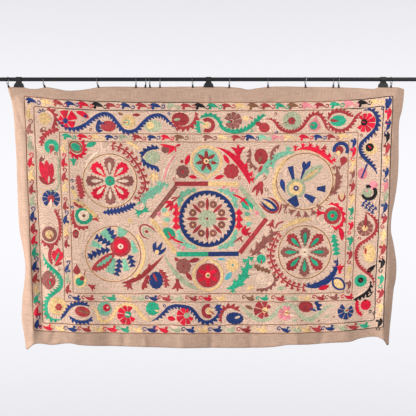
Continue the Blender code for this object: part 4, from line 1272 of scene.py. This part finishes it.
def sew_bottom_left_medallion():
    """The medallion at the lower left, in its ring, and the sprays beside it."""
    x, y = 111.7, 254.8
    medallion_ring(x, y, 27.7)
    disc("brick", 119.3, 247, 10.6, 20, 0.04)
    disc("crimson", 119.3, 247, 7.6, 16, 0.04, layer=1)
    disc("cream", 119.3, 247, 2.8, layer=2)
    disc("brick", 119.3, 247, 0.9, layer=3)
    for route in ("113,240 110.5,234.5 106.5,228.8", "109.5,245.5 102,241 93.8,236.8",
                  "109,250.5 101,251.5 93,254.5 86.5,258.5",
                  "118,259 117.5,267 115,276.5", "127.5,255.5 130,261 131.5,267.5"):
        stroke("blue", chart_points(route), 1.6, "vine", (0, 2.3, 3.6), step=0.8 * STITCH_STEP)
    for x0, y0, x1, y1, width in (
        (111.5, 243, 101.5, 231, 7.4), (100, 247.5, 90.5, 243.5, 5.4), (118.5, 237.5, 122, 228.8, 9.6),
        (130.5, 241.5, 134.5, 253.5, 5.2), (112.5, 259, 108.5, 273.8, 7.4), (122.5, 259.5, 125.5, 271.5, 5.6),
    ):
        leaf("mint", x0, y0, x1, y1, width, shape="wedge")
    leaf("brick", 113, 253.5, 90.5, 270.5, 8.2, 0.8, teeth=(1, 1.3, 2.6))
    leaf("mint", 111, 256, 95.5, 267, 2.0, 0.5, teeth=(0, 1.0, 3.2), layer=1)
    leaf("brick", 76, 275, 75.6, 263.5, 6.2, shape="bud")
    pod("yellow", 79.4, 281.2, 12.6, 13.5, 10)
    disc("green", 78.9, 282.2, 4.2, layer=1)
    disc("brick", 81.2, 278.9, 2.3, layer=2)
    leaf("brick", 83, 277, 84.4, 269.5, 0.8)
    sprig("brick", 91, 287.5, 330, 8.5)
    arc("yellow", 111.7, 254.8, 31.2, 2.8, -48, 38)
    arc("cream", 111.7, 254.8, 34.2, 1.6, -36, 22)


def sew_top_right_medallion():
    """The medallion at the upper right, in its ring, and the sprays beside it."""
    x, y = 306, 181
    medallion_ring(x, y, 28.0)
    ring("yellow", x, y, 30.2, 0.5)
    disc("sage", 297.3, 188, 9.8, 18, 0.06)
    disc("yellow", 297.3, 188, 7.0, 14, 0.05, layer=1)
    disc("blue", 297.3, 188, 2.8, layer=2)
    disc("cream", 297.3, 188, 1.1, layer=3)
    for x0, y0, x1, y1, width in (
        (294.6, 179, 291.5, 165.8, 4.9), (302.4, 179, 306.4, 166, 3.0),
        (318.4, 188.4, 326.8, 188.6, 6.0), (298.4, 206.4, 292.8, 197.2, 9.4), (306, 194.6, 315.6, 200.4, 6.2),
    ):
        leaf("blue", x0, y0, x1, y1, width, shape="wedge")
    leaf("blue", 286.6, 193.4, 282.6, 178.4, 4.2, 0.6, "drop")
    leaf("blue", 305.6, 169.5, 305.2, 160.5, 3.6)
    leaf("blue", 306.5, 169.5, 311.6, 160.2, 3.8)
    leaf("sage", 301, 181.5, 324, 164.5, 8.6)
    leaf("yellow", 304.5, 179.5, 320, 168.6, 3.2, layer=1)
    branch("crimson", "294.5,150.8 301,148.4 309,147.4 317,149.4 324.5,154 330.5,159.6 335,164", 4.2,
           ((0.05, 1), (0.2, 1), (0.34, 1), (0.48, 1), (0.62, 1), (0.76, 1), (0.9, 1)), 6.4)
    sprig("brick", 325.5, 147, 20, 6.5)
    arc("blue", 342, 149.5, 6.6, 3.0, -30, 195)
    disc("brick", 340.5, 149.6, 4.2, 8, 0.08)
    disc("yellow", 339.6, 152.2, 2.0, layer=1)
    leaf("brick", 342.5, 166.5, 346, 156, 6.4, shape="drop")
    branch("maroon", "336.5,164 338.6,170.5 339.4,177 338,184.5 335,190.5 331,196.5", 4.6,
           ((0.05, -1), (0.1, 1), (0.26, -1), (0.34, 1), (0.48, 1), (0.62, 1), (0.78, 1)), 5.4)
    curl("brown", 330.5, 199, 200, 1.9)
    for spot_x, spot_y, angle in (
        (293, 211.5, 200), (299.5, 214.5, 265), (307, 215, 280), (314.5, 212, 300), (320.5, 207, 310),
        (287, 206, 210),
    ):
        sprig("maroon", spot_x, spot_y, angle, 7.8)
    stroke("brick", chart_points("340.2,193.5 340.4,198 343,201 345.8,198 346,193.5"), 1.4, "vine")
    stroke("yellow", chart_points("342,193.5 342.2,197 343.2,198.6 344.3,197 344.4,193.5"), 1.2)
    leaf("yellow", 265, 202, 274.5, 208.5, 4.4)
    stroke("blue", chart_points("263,198.5 269,200.5 274.5,204.5 277.4,209.6 272,209.8 266.5,206 "
                                "261.5,201"), 2.2, "vine")
    stroke("brick", chart_points("268,197 274,199.5 278.5,204.5 278.8,209.5 274.5,212.5 268.5,211 "
                                 "263.5,206.5 260,202.5"), 1.9, "vine")
    stroke("brick", chart_points("282.5,203.5 281.5,209 279.5,214"), 1.3, "vine")
    curl("brown", 286.5, 210, 280, 1.9)
    vine("yellow", "289,157 281.5,166 276.6,176 275,186 278,197 283.5,203", 1.9, (0, 0.7, 3.4))


def sew_right_field():
    """The leaves and sprays between the two right medallions."""
    disc("brick", 333.8, 215.8, 8.9, 18, 0.06)
    disc("green", 333.8, 215.8, 5.4, 12, 0.05, layer=1)
    disc("crimson", 333.8, 215.8, 1.8, layer=2)
    stroke("crimson", chart_points("329.5,204.6 335,204.4 340,207.5 343.5,213 344.2,219.5 341.5,225 "
                                   "337,227.6 332.5,225.6"), 1.8, "vine", (1, 1.5, 4.2))
    sprig("crimson", 321, 213, 180, 9.5)
    leaf("crimson", 340.5, 227, 343.5, 241, 4.2, 1.0)
    curl("brown", 344.5, 222, 40, 1.7)
    curl("brown", 338.5, 231, 200, 1.7)
    vine("yellow", "280.5,231 288,226 296,222.8 304,220.6 313,219.4", 3.6, (1, 1.0, 3.4), "blade")
    branch("maroon", "282.5,230.5 276,233.5 269,239 262,246 256.5,252.6 251.5,257", 4.8,
           ((0.2, -1), (0.34, 1), (0.42, -1), (0.56, 1), (0.64, -1), (0.78, 1), (0.86, -1)), 6.6)
    stroke("brick", chart_points("276.5,229 279,224 285.5,221.4"), 1.4, "vine")
    sprig("brick", 272.5, 224.5, 250, 9.5)


def sew_bottom_right_medallion():
    """Eight drop petals round a cream heart, and the branches beside them."""
    x, y = 306, 252.7
    medallion_ring(x, y, 26.6)
    for thread, width, first in (("maroon", 7.2, 0), ("brick", 7.4, 45)):
        petals(thread, x, y, 5.0, 24.6, width, round_angles(4, first), "drop", (0, 1.2, 2.7),
               heart=("green", 0.7, 0.46))
    disc("cream", x, y, 4.6, 10, 0.05, layer=1)
    disc("brown", x, y, 0.9, layer=2)
    twig_vine("brick", "281,232 277.5,238 274.4,244.5 272,251.5 271.6,258.5 274,265.5 277.5,272 "
                       "282.5,278.5 289,284 297,287.4 306.5,288.6", 1.6, 14, 5.2)
    vine("green", "334.6,234 335.6,240.5 336.8,246 337.5,251.5 338,256.4", 2.0, (0, 2.0, 3.4))
    branch("blue", "338.5,256.8 338.4,264 336,271.5 331,278.5 324,283.8 315,286.8 306,287.2", 5.4,
           ((0.08, -1), (0.22, -1), (0.36, -1), (0.5, -1), (0.64, -1), (0.78, -1), (0.92, -1)), 4.6)
    sprig("crimson", 341, 269, 90, 10.5)
    leaf("yellow", 335, 280.5, 344, 288.5, 6.4)
    stroke("blue", chart_points("333.8,281 334.6,286.4 339,289.6 344.4,289 345,284 341.6,279.6 "
                                "336.8,278.6"), 1.5, closed=True, layer=1)
    leaf("crimson", 319.5, 290, 330, 286.5, 4.2)
    leaf("sage", 277.5, 290, 286, 288, 3.6)
    curl("brown", 259, 265, 300, 1.8)


def sew_pattern():
    """All the stitching, from the frame lines inwards."""
    sew_bands()
    sew_top_border()
    sew_right_border()
    sew_left_border()
    sew_bottom_border()
    sew_centre()
    sew_middle_rosettes()
    sew_above_hexagon()
    sew_below_hexagon()
    sew_top_left_medallion()
    sew_left_field()
    sew_bottom_left_medallion()
    sew_top_right_medallion()
    sew_right_field()
    sew_bottom_right_medallion()


# Node groups and materials.
def add_socket(group, name, kind, output=False, default=None):
    socket = group.interface.new_socket(name=name, in_out="OUTPUT" if output else "INPUT", socket_type=kind)
    if default is not None:
        socket.default_value = default
    return socket


def node(tree, kind, **settings):
    made = tree.nodes.new(kind)
    for key, value in settings.items():
        setattr(made, key, value)
    return made


def math_node(tree, operation, first, second=None, clamp=False):
    made = node(tree, "ShaderNodeMath", operation=operation, use_clamp=clamp)
    for index, value in enumerate((first, second)):
        if value is None:
            continue
        if isinstance(value, (int, float)):
            made.inputs[index].default_value = value
        else:
            tree.links.new(value, made.inputs[index])
    return made.outputs[0]


def noise(tree, vector, scale, detail=3.0, roughness=0.55):
    made = node(tree, "ShaderNodeTexNoise")
    made.inputs["Scale"].default_value = scale
    made.inputs["Detail"].default_value = detail
    made.inputs["Roughness"].default_value = roughness
    tree.links.new(vector, made.inputs["Vector"])
    return made.outputs["Fac"]


def stretched(tree, vector, scale):
    made = node(tree, "ShaderNodeMapping")
    made.inputs["Scale"].default_value = scale
    tree.links.new(vector, made.inputs["Vector"])
    return made.outputs["Vector"]


def tone(tree, colour, factor, strength):
    """Lighten or darken a colour by a mask round a half."""
    shade = math_node(tree, "MULTIPLY_ADD", factor, strength)
    shade.node.inputs[2].default_value = 1 - strength / 2
    made = node(tree, "ShaderNodeMix", data_type="RGBA", blend_type="MULTIPLY")
    made.inputs["Factor"].default_value = 1
    tree.links.new(colour, made.inputs["A"])
    tree.links.new(shade, made.inputs["B"])
    return made.outputs["Result"]


def make_stitch_group():
    """Laid silk: fine ridges along the thread, with painted shade in their grooves, painted light on their
    crests and painted shade between rows, a looser pull of colour, and a tint for each patch.
    """
    group = bpy.data.node_groups.new("laid_silk", "ShaderNodeTree")
    add_socket(group, "Thread", "NodeSocketColor")
    add_socket(group, "Ridges", "NodeSocketFloat", default=3.4)
    add_socket(group, "Color", "NodeSocketColor", output=True)
    add_socket(group, "Height", "NodeSocketFloat", output=True)
    add_socket(group, "Roughness", "NodeSocketFloat", output=True)
    source = node(group, "NodeGroupInput")
    sink = node(group, "NodeGroupOutput")
    uv = node(group, "ShaderNodeUVMap", uv_map="stitch")
    parts = node(group, "ShaderNodeSeparateXYZ")
    group.links.new(uv.outputs["UV"], parts.inputs["Vector"])
    coordinate = node(group, "ShaderNodeTexCoord")
    waver = noise(group, coordinate.outputs["Object"], 42, 2)
    across = math_node(group, "MULTIPLY_ADD", waver, 0.0016)
    group.links.new(parts.outputs["X"], across.node.inputs[2])
    phase = math_node(group, "MULTIPLY", across, source.outputs["Ridges"])
    phase = math_node(group, "MULTIPLY", phase, 1000)
    ridge = math_node(group, "SINE", phase)
    couching = math_node(group, "SINE", math_node(group, "MULTIPLY", parts.outputs["Y"], 1150))
    tie = math_node(group, "MULTIPLY", ridge, couching)
    fuzz = noise(group, coordinate.outputs["Object"], 620, 2)
    height = math_node(group, "MULTIPLY_ADD", ridge, 0.4)
    height.node.inputs[2].default_value = 0.5
    height = math_node(group, "ADD", height, math_node(group, "MULTIPLY", tie, 0.16))
    height = math_node(group, "ADD", height, math_node(group, "MULTIPLY", fuzz, 0.35))
    group.links.new(height, sink.inputs["Height"])
    tint = node(group, "ShaderNodeAttribute", attribute_name="tint")
    tinted = math_node(group, "MULTIPLY_ADD", tint.outputs["Fac"], 0.24)
    tinted.node.inputs[2].default_value = 0.5
    colour = tone(group, source.outputs["Thread"], tinted, 0.7)
    colour = tone(group, colour, noise(group, coordinate.outputs["Object"], 85, 3, 0.75), 1.9)
    colour = tone(group, colour, noise(group, coordinate.outputs["Object"], 14, 2), 0.3)
    # Painted shade in the grooves between thread ridges and painted light on their crests: the colour follows
    # the ridge height.
    painted_ridge_shading = math_node(group, "MULTIPLY_ADD", ridge, 0.5)
    painted_ridge_shading.node.inputs[2].default_value = 0.5
    colour = tone(group, colour, painted_ridge_shading, 0.4)
    # Thin dark lines every ROW_PITCH across the stitches: painted shade in the gaps between rows of couching.
    rows = math_node(group, "COSINE", math_node(group, "MULTIPLY", across, math.pi / ROW_PITCH))
    rows = math_node(group, "MULTIPLY", math_node(group, "ABSOLUTE", rows), 2.6, clamp=True)
    colour = tone(group, colour, math_node(group, "MULTIPLY", rows, 0.5), 0.65)
    group.links.new(colour, sink.inputs["Color"])
    rough = math_node(group, "MULTIPLY_ADD", fuzz, 0.25)
    rough.node.inputs[2].default_value = 0.42
    group.links.new(rough, sink.inputs["Roughness"])
    return group


def make_linen_group():
    """Plain weave with slubs both ways, in metres of the flat cloth."""
    group = bpy.data.node_groups.new("plain_weave", "ShaderNodeTree")
    add_socket(group, "Threads", "NodeSocketFloat", default=1100.0)
    add_socket(group, "Flat", "NodeSocketVector")
    add_socket(group, "Height", "NodeSocketFloat", output=True)
    add_socket(group, "Slub", "NodeSocketFloat", output=True)
    source = node(group, "NodeGroupInput")
    sink = node(group, "NodeGroupOutput")
    flat = source.outputs["Flat"]
    parts = node(group, "ShaderNodeSeparateXYZ")
    group.links.new(flat, parts.inputs["Vector"])
    phases = [math_node(group, "MULTIPLY", parts.outputs[axis], source.outputs["Threads"]) for axis in "XY"]
    warp = math_node(group, "SINE", math_node(group, "MULTIPLY", phases[0], 2 * math.pi))
    weft = math_node(group, "SINE", math_node(group, "MULTIPLY", phases[1], 2 * math.pi))
    weave = math_node(group, "MULTIPLY", warp, weft)
    across = noise(group, stretched(group, flat, (14, 230, 1)), 1, 3)
    down = noise(group, stretched(group, flat, (330, 20, 1)), 1, 3)
    slub = math_node(group, "MULTIPLY", math_node(group, "ADD", across, down), 0.5)
    height = math_node(group, "ADD", math_node(group, "MULTIPLY", weave, 0.25), slub)
    group.links.new(height, sink.inputs["Height"])
    group.links.new(slub, sink.inputs["Slub"])
    return group


STITCH_GROUP = make_stitch_group()
LINEN_GROUP = make_linen_group()


def new_material(name):
    material = bpy.data.materials.new(name)
    material.use_nodes = True
    return material, material.node_tree, material.node_tree.nodes["Principled BSDF"]


def add_bump(tree, shader, height, strength, distance):
    bump = node(tree, "ShaderNodeBump")
    bump.inputs["Strength"].default_value = strength
    bump.inputs["Distance"].default_value = distance
    tree.links.new(height, bump.inputs["Height"])
    tree.links.new(bump.outputs["Normal"], shader.inputs["Normal"])


CLOTH_SHEEN = 0.04
CLOTH_SPECULAR = 0.2
SILK_RIDGES = 3.9
CHAIN_RIDGES = 5.2
THREADS = {
    "crimson": (0.67, 0.005, 0.034),
    "brick": (0.37, 0.034, 0.04),
    "maroon": (0.27, 0.085, 0.07),
    "blue": (0.013, 0.036, 0.155),
    "green": (0.02, 0.34, 0.19),
    "mint": (0.2, 0.48, 0.32),
    "sage": (0.4, 0.43, 0.28),
    "yellow": (0.8, 0.52, 0.235),
    "cream": (0.75, 0.56, 0.42),
    "pink": (0.8, 0.24, 0.28),
    "black": (0.008, 0.007, 0.009),
    "brown": (0.25, 0.1, 0.05),
    "turquoise": (0.1, 0.4, 0.44),
}


def thread_material(name, colour):
    material, tree, shader = new_material(f"{name}_silk")
    silk = node(tree, "ShaderNodeGroup", node_tree=STITCH_GROUP)
    silk.inputs["Thread"].default_value = (*colour, 1)
    silk.inputs["Ridges"].default_value = SILK_RIDGES if name != "brown" else CHAIN_RIDGES
    tree.links.new(silk.outputs["Color"], shader.inputs["Base Color"])
    tree.links.new(silk.outputs["Roughness"], shader.inputs["Roughness"])
    shader.inputs["Sheen Weight"].default_value = CLOTH_SHEEN
    shader.inputs["Specular IOR Level"].default_value = CLOTH_SPECULAR
    add_bump(tree, shader, silk.outputs["Height"], 0.55, 0.0006)
    return material


LINEN_MARGIN = (0.475, 0.315, 0.234)
LINEN_GROUND = (0.69, 0.48, 0.365)
LINEN_SPECK = (0.32, 0.15, 0.095)
LINEN_THREADS = 1050.0
LINEN_ROUGHNESS = 0.92
GROUND_ROW_PITCH = 11.5 * MM
ROW_DRIFT = 0.3


def linen_material():
    """Natural linen: fawn in the margins, paler and mottled where the stitched field is."""
    material, tree, shader = new_material("linen")
    uv = node(tree, "ShaderNodeUVMap", uv_map="flat")
    metres = stretched(tree, uv.outputs["UV"], (UV_SPAN, UV_SPAN, 1))
    weave = node(tree, "ShaderNodeGroup", node_tree=LINEN_GROUP)
    weave.inputs["Threads"].default_value = LINEN_THREADS
    tree.links.new(metres, weave.inputs["Flat"])
    parts = node(tree, "ShaderNodeSeparateXYZ")
    tree.links.new(metres, parts.inputs["Vector"])
    away = []
    for axis, half in (("X", FRAME_HALF_WIDTH), ("Y", FRAME_HALF_HEIGHT)):
        offset = math_node(tree, "SUBTRACT", parts.outputs[axis], UV_SPAN / 2)
        away.append(math_node(tree, "SUBTRACT", math_node(tree, "ABSOLUTE", offset), half))
    outside = math_node(tree, "MAXIMUM", away[0], away[1])
    inside = math_node(tree, "MULTIPLY", outside, -400, clamp=True)
    mix = node(tree, "ShaderNodeMix", data_type="RGBA")
    mix.inputs["A"].default_value = (*LINEN_MARGIN, 1)
    mix.inputs["B"].default_value = (*LINEN_GROUND, 1)
    tree.links.new(inside, mix.inputs["Factor"])
    speck = noise(tree, metres, 115, 2, 0.8)
    speck = math_node(tree, "MULTIPLY", math_node(tree, "SUBTRACT", speck, 0.5), 7, clamp=True)
    speck = math_node(tree, "MULTIPLY", math_node(tree, "MULTIPLY", speck, inside), 0.55)
    dotted = node(tree, "ShaderNodeMix", data_type="RGBA")
    dotted.inputs["B"].default_value = (*LINEN_SPECK, 1)
    tree.links.new(speck, dotted.inputs["Factor"])
    tree.links.new(mix.outputs["Result"], dotted.inputs["A"])
    colour = tone(tree, dotted.outputs["Result"], weave.outputs["Slub"], 1.5)
    # Rows of laid thread swirl over the stitched ground.
    drift = math_node(tree, "MULTIPLY", noise(tree, metres, 5, 2), ROW_DRIFT)
    rows = math_node(tree, "ADD", parts.outputs["Y"], drift)
    rows = math_node(tree, "SINE", math_node(tree, "MULTIPLY", rows, 2 * math.pi / GROUND_ROW_PITCH))
    rows = math_node(tree, "MULTIPLY", rows, noise(tree, metres, 30, 3, 0.7))
    rows = math_node(tree, "ADD", math_node(tree, "MULTIPLY", rows, inside), 0.42)
    colour = tone(tree, colour, rows, 0.34)
    grain = noise(tree, metres, 150, 4, 0.7)
    colour = tone(tree, colour, grain, 0.5)
    broad = noise(tree, metres, 4.5, 3)
    colour = tone(tree, colour, broad, 0.3)
    tree.links.new(colour, shader.inputs["Base Color"])
    shader.inputs["Roughness"].default_value = LINEN_ROUGHNESS
    shader.inputs["Sheen Weight"].default_value = CLOTH_SHEEN
    shader.inputs["Specular IOR Level"].default_value = CLOTH_SPECULAR
    height = math_node(tree, "ADD", weave.outputs["Height"], math_node(tree, "MULTIPLY", grain, 0.5))
    rumple = math_node(tree, "MULTIPLY", noise(tree, metres, 26, 3), 2.4)
    add_bump(tree, shader, math_node(tree, "ADD", height, rumple), 0.6, 0.0012)
    return material


def metal_material(name, colour, roughness, metallic, wear, wear_colour):
    """Hard finishes with fine grain and a little rubbing."""
    material, tree, shader = new_material(name)
    coordinate = node(tree, "ShaderNodeTexCoord")
    rub = noise(tree, stretched(tree, coordinate.outputs["Object"], (6, 90, 90)), 1, 4)
    grain = noise(tree, coordinate.outputs["Object"], 900, 2)
    spread = math_node(tree, "MULTIPLY", math_node(tree, "SUBTRACT", rub, 0.56), wear, clamp=True)
    mix = node(tree, "ShaderNodeMix", data_type="RGBA")
    mix.inputs["A"].default_value = (*colour, 1)
    mix.inputs["B"].default_value = (*wear_colour, 1)
    tree.links.new(spread, mix.inputs["Factor"])
    tree.links.new(mix.outputs["Result"], shader.inputs["Base Color"])
    rough = math_node(tree, "MULTIPLY_ADD", grain, 0.2)
    rough.node.inputs[2].default_value = roughness - 0.1
    tree.links.new(rough, shader.inputs["Roughness"])
    shader.inputs["Metallic"].default_value = metallic
    add_bump(tree, shader, grain, 0.12, 0.0004)
    return material


def dress_hardware():
    """The rod, caps, rings, clips and clamps keep their solids' shapes and take their finishes."""
    rod = metal_material("rod_paint", (0.005, 0.005, 0.007), 0.5, 0.0, 1.2, (0.03, 0.03, 0.034))
    plastic = metal_material("clamp_plastic", (0.009, 0.009, 0.01), 0.5, 0.0, 1.0, (0.03, 0.03, 0.033))
    wire = metal_material("ring_steel", (0.42, 0.42, 0.44), 0.3, 1.0, 1.5, (0.2, 0.19, 0.18))
    dark = metal_material("clip_enamel", (0.03, 0.03, 0.036), 0.34, 0.6, 3.0, (0.25, 0.24, 0.23))
    finishes = {"rod": rod, "rod_cap_left": plastic, "rod_cap_right": plastic}
    finishes |= {name: plastic for name in CLAMPS}
    finishes |= {name: dark for name in CLIPS}
    finishes |= {name: dark if name in (RINGS[0], RINGS[-1]) else wire for name in RINGS}
    for name, material in finishes.items():
        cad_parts[name].material_slots[0].material = material


# Meshes. The flat chart of the cloth spans this many metres of linen each way.
UV_SPAN = 2.4


def mesh_object(name, points, quads, triangles, material):
    mesh = bpy.data.meshes.new(name)
    faces = [tuple(face) for face in quads.tolist()] + [tuple(face) for face in triangles]
    mesh.from_pydata(points.tolist(), [], faces)
    mesh.materials.append(material)
    mesh.shade_smooth()
    piece = bpy.data.objects.new(name, mesh)
    bpy.context.scene.collection.objects.link(piece)
    return piece


def set_uv(mesh, name, rows):
    layer = mesh.uv_layers.new(name=name)
    corner = np.empty(len(mesh.loops), dtype=np.int32)
    mesh.loops.foreach_get("vertex_index", corner)
    layer.data.foreach_set("uv", rows[corner].astype(np.float32).ravel())


def weave_sheet():
    """The cloth itself: a thin closed sheet on the solid's own folds."""
    columns = np.linspace(-CLOTH_HALF_WIDTH, CLOTH_HALF_WIDTH, round(2 * CLOTH_HALF_WIDTH / SHEET_STEP) + 1)
    rows = np.linspace(CLOTH_HALF_HEIGHT, -CLOTH_HALF_HEIGHT, round(2 * CLOTH_HALF_HEIGHT / SHEET_STEP) + 1)
    a, b = np.meshgrid(columns, rows)
    a, b = a.ravel(), b.ravel()
    places, facing = cloth_frames(a, b)
    points = np.concatenate([places + facing * (side * SHEET_THICKNESS / 2) for side in (1, -1)])
    wide, tall = len(columns), len(rows)
    r, c = np.meshgrid(np.arange(tall - 1), np.arange(wide - 1), indexing="ij")
    first = (r * wide + c).ravel()
    front = np.stack((first, first + wide, first + wide + 1, first + 1), axis=1)
    back = front[:, ::-1] + wide * tall
    top = np.arange(wide)
    right = np.arange(tall) * wide + wide - 1
    bottom = (top + (tall - 1) * wide)[::-1]
    left = (np.arange(tall) * wide)[::-1]
    rim = np.concatenate((top, right[1:], bottom[1:], left[1:-1]))
    after = np.roll(rim, -1)
    edge = np.stack((rim, after, after + wide * tall, rim + wide * tall), axis=1)
    sheet = mesh_object("linen_sheet", points, np.concatenate((front, back, edge)), [], linen_material())
    flat = np.stack((a / UV_SPAN + 0.5, b / UV_SPAN + 0.5), axis=1)
    set_uv(sheet.data, "flat", np.concatenate((flat, flat)))
    return sheet


def sew_thread(thread):
    """Join a thread's patches, raise them off the cloth, and close them through it to its back."""
    flats, heights, tints, uvs, quads, triangles = [], [], [], [], [], []
    count = 0
    for flat, height, across, along, patch_quads, patch_triangles, tint in sewn[thread]:
        flats.append(flat)
        heights.append(height)
        tints.append(np.full(len(flat), tint))
        uvs.append(np.stack((across, along), axis=1))
        quads.append(patch_quads + count)
        triangles += [tuple(corner + count for corner in face) for face in patch_triangles]
        count += len(flat)
    flat = np.concatenate(flats)
    height = np.concatenate(heights)
    places, facing = cloth_frames(flat[:, 0], flat[:, 1])
    lift = height + np.where(height > 0, SHEET_THICKNESS / 2, -SHEET_THICKNESS / 2)
    points = places + facing * lift[:, None]
    material = thread_material(thread, THREADS[thread])
    piece = mesh_object(f"{thread}_stitches", points, np.concatenate(quads), triangles, material)
    piece.data.set_sharp_from_angle(angle=STITCH_SHARP)
    set_uv(piece.data, "stitch", np.concatenate(uvs))
    tint = piece.data.attributes.new("tint", "FLOAT", "POINT")
    tint.data.foreach_set("value", np.concatenate(tints).astype(np.float32))
    return piece


SURROUND_COLOUR = (0.965, 0.965, 1.0, 1)
SURROUND_BEHIND = 1.0
SURROUND_FRONT = 0.34
SURROUND_FALL = 2.6


def set_surround():
    """A pale studio all round: brightest behind the cloth, at its height, and dim behind the camera."""
    world = bpy.data.worlds.new("studio")
    world.use_nodes = True
    tree = world.node_tree
    direction = node(tree, "ShaderNodeTexCoord").outputs["Generated"]
    parts = node(tree, "ShaderNodeSeparateXYZ")
    tree.links.new(direction, parts.inputs[0])
    behind = math_node(tree, "MULTIPLY", math_node(tree, "ADD", parts.outputs["Y"], 0.25), 2, clamp=True)
    rise = math_node(tree, "MULTIPLY", parts.outputs["Z"], parts.outputs["Z"])
    bright = math_node(tree, "SUBTRACT", SURROUND_BEHIND, math_node(tree, "MULTIPLY", rise, SURROUND_FALL))
    bright = math_node(tree, "MAXIMUM", bright, SURROUND_FRONT)
    gain = math_node(tree, "MULTIPLY", math_node(tree, "SUBTRACT", bright, SURROUND_FRONT), behind)
    background = tree.nodes["Background"]
    background.inputs["Color"].default_value = SURROUND_COLOUR
    tree.links.new(math_node(tree, "ADD", gain, SURROUND_FRONT), background.inputs["Strength"])
    bpy.context.scene.world = world


# The floor lies below the picture's lower edge, a usual rod's height under the rod.
FLOOR_DROP = 2300 * MM
FLOOR_RADIUS = 1650 * MM
FLOOR_THICKNESS = 20 * MM
FLOOR_SIDES = 96
FLOOR_COLOUR = (0.62, 0.62, 0.64)
FLOOR_ROUGHNESS = 0.7


def set_floor():
    """A plain pale round floor."""
    bpy.ops.object.select_all(action="DESELECT")
    bpy.ops.mesh.primitive_cylinder_add(
        vertices=FLOOR_SIDES, radius=FLOOR_RADIUS, depth=FLOOR_THICKNESS,
        location=(0, 0, -FLOOR_DROP - FLOOR_THICKNESS / 2),
    )
    floor = bpy.context.object
    floor.name = "floor"
    bpy.ops.object.transform_apply(location=True)
    material, _, shader = new_material("pale_floor")
    shader.inputs["Base Color"].default_value = (*FLOOR_COLOUR, 1)
    shader.inputs["Roughness"].default_value = FLOOR_ROUGHNESS
    floor.data.materials.append(material)


def add_light(name, place, aim, size, power, colour):
    """A soft rectangular light that faces its aim."""
    data = bpy.data.lights.new(name, "AREA")
    data.shape = "RECTANGLE"
    data.size, data.size_y = size
    data.energy = power
    data.color = colour
    light = bpy.data.objects.new(name, data)
    bpy.context.scene.collection.objects.link(light)
    light.location = place
    light.rotation_euler = (Vector(aim) - Vector(place)).to_track_quat("-Z", "Y").to_euler()


def add_sun(name, source, strength, spread_deg, colour):
    """A broad parallel light that comes from the direction of source."""
    data = bpy.data.lights.new(name, "SUN")
    data.energy = strength
    data.angle = math.radians(spread_deg)
    data.color = colour
    light = bpy.data.objects.new(name, data)
    bpy.context.scene.collection.objects.link(light)
    light.rotation_euler = (-Vector(source)).to_track_quat("-Z", "Y").to_euler()


SUN_SOURCE = (-1.0, -0.5, 0.14)
SUN_STRENGTH = 2.7
SUN_SPREAD = 9
WARM_WHITE = (1.0, 0.985, 0.965)
AREA_LIGHTS = (
    # name, place and aim in metres, width and height, power in watts, colour
    ("left", (-3.5, -1.1, -0.9), (-1.0, 0, -0.8), (1.2, 2.0), 78, WARM_WHITE),
    ("fill", (2.8, -2.9, 1.2), (0.7, 0, -0.45), (2.0, 1.6), 80, (1.0, 0.99, 0.985)),
    ("right", (2.3, -0.9, 0.3), (1.05, 0, -0.2), (0.5, 0.8), 8, (1.0, 0.97, 0.93)),
)
VIEW_WIDTH = 416 * CHART_SQUARE
VIEW_DISTANCE = 4.6
VIEW_HEIGHT = -0.7075
SENSOR_WIDTH = 36.0


def set_lights_and_camera():
    add_sun("key", SUN_SOURCE, SUN_STRENGTH, SUN_SPREAD, WARM_WHITE)
    for light in AREA_LIGHTS:
        add_light(*light)
    set_surround()
    set_floor()
    data = bpy.data.cameras.new("camera")
    data.sensor_width = SENSOR_WIDTH
    data.lens = SENSOR_WIDTH * VIEW_DISTANCE / VIEW_WIDTH
    camera = bpy.data.objects.new("camera", data)
    bpy.context.scene.collection.objects.link(camera)
    camera.location = (0, -VIEW_DISTANCE, VIEW_HEIGHT)
    camera.rotation_euler = (math.radians(90), 0, 0)
    bpy.context.scene.camera = camera


def set_colour_view():
    """Plain display colours, as in the photograph."""
    bpy.context.scene.view_settings.view_transform = "Standard"
    bpy.context.scene.view_settings.look = "None"


sew_pattern()
linen = weave_sheet()
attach(linen, "root")
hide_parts("cloth")
for thread_name in THREADS:
    work = sew_thread(thread_name)
    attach(work, "root")
dress_hardware()
set_lights_and_camera()
set_colour_view()
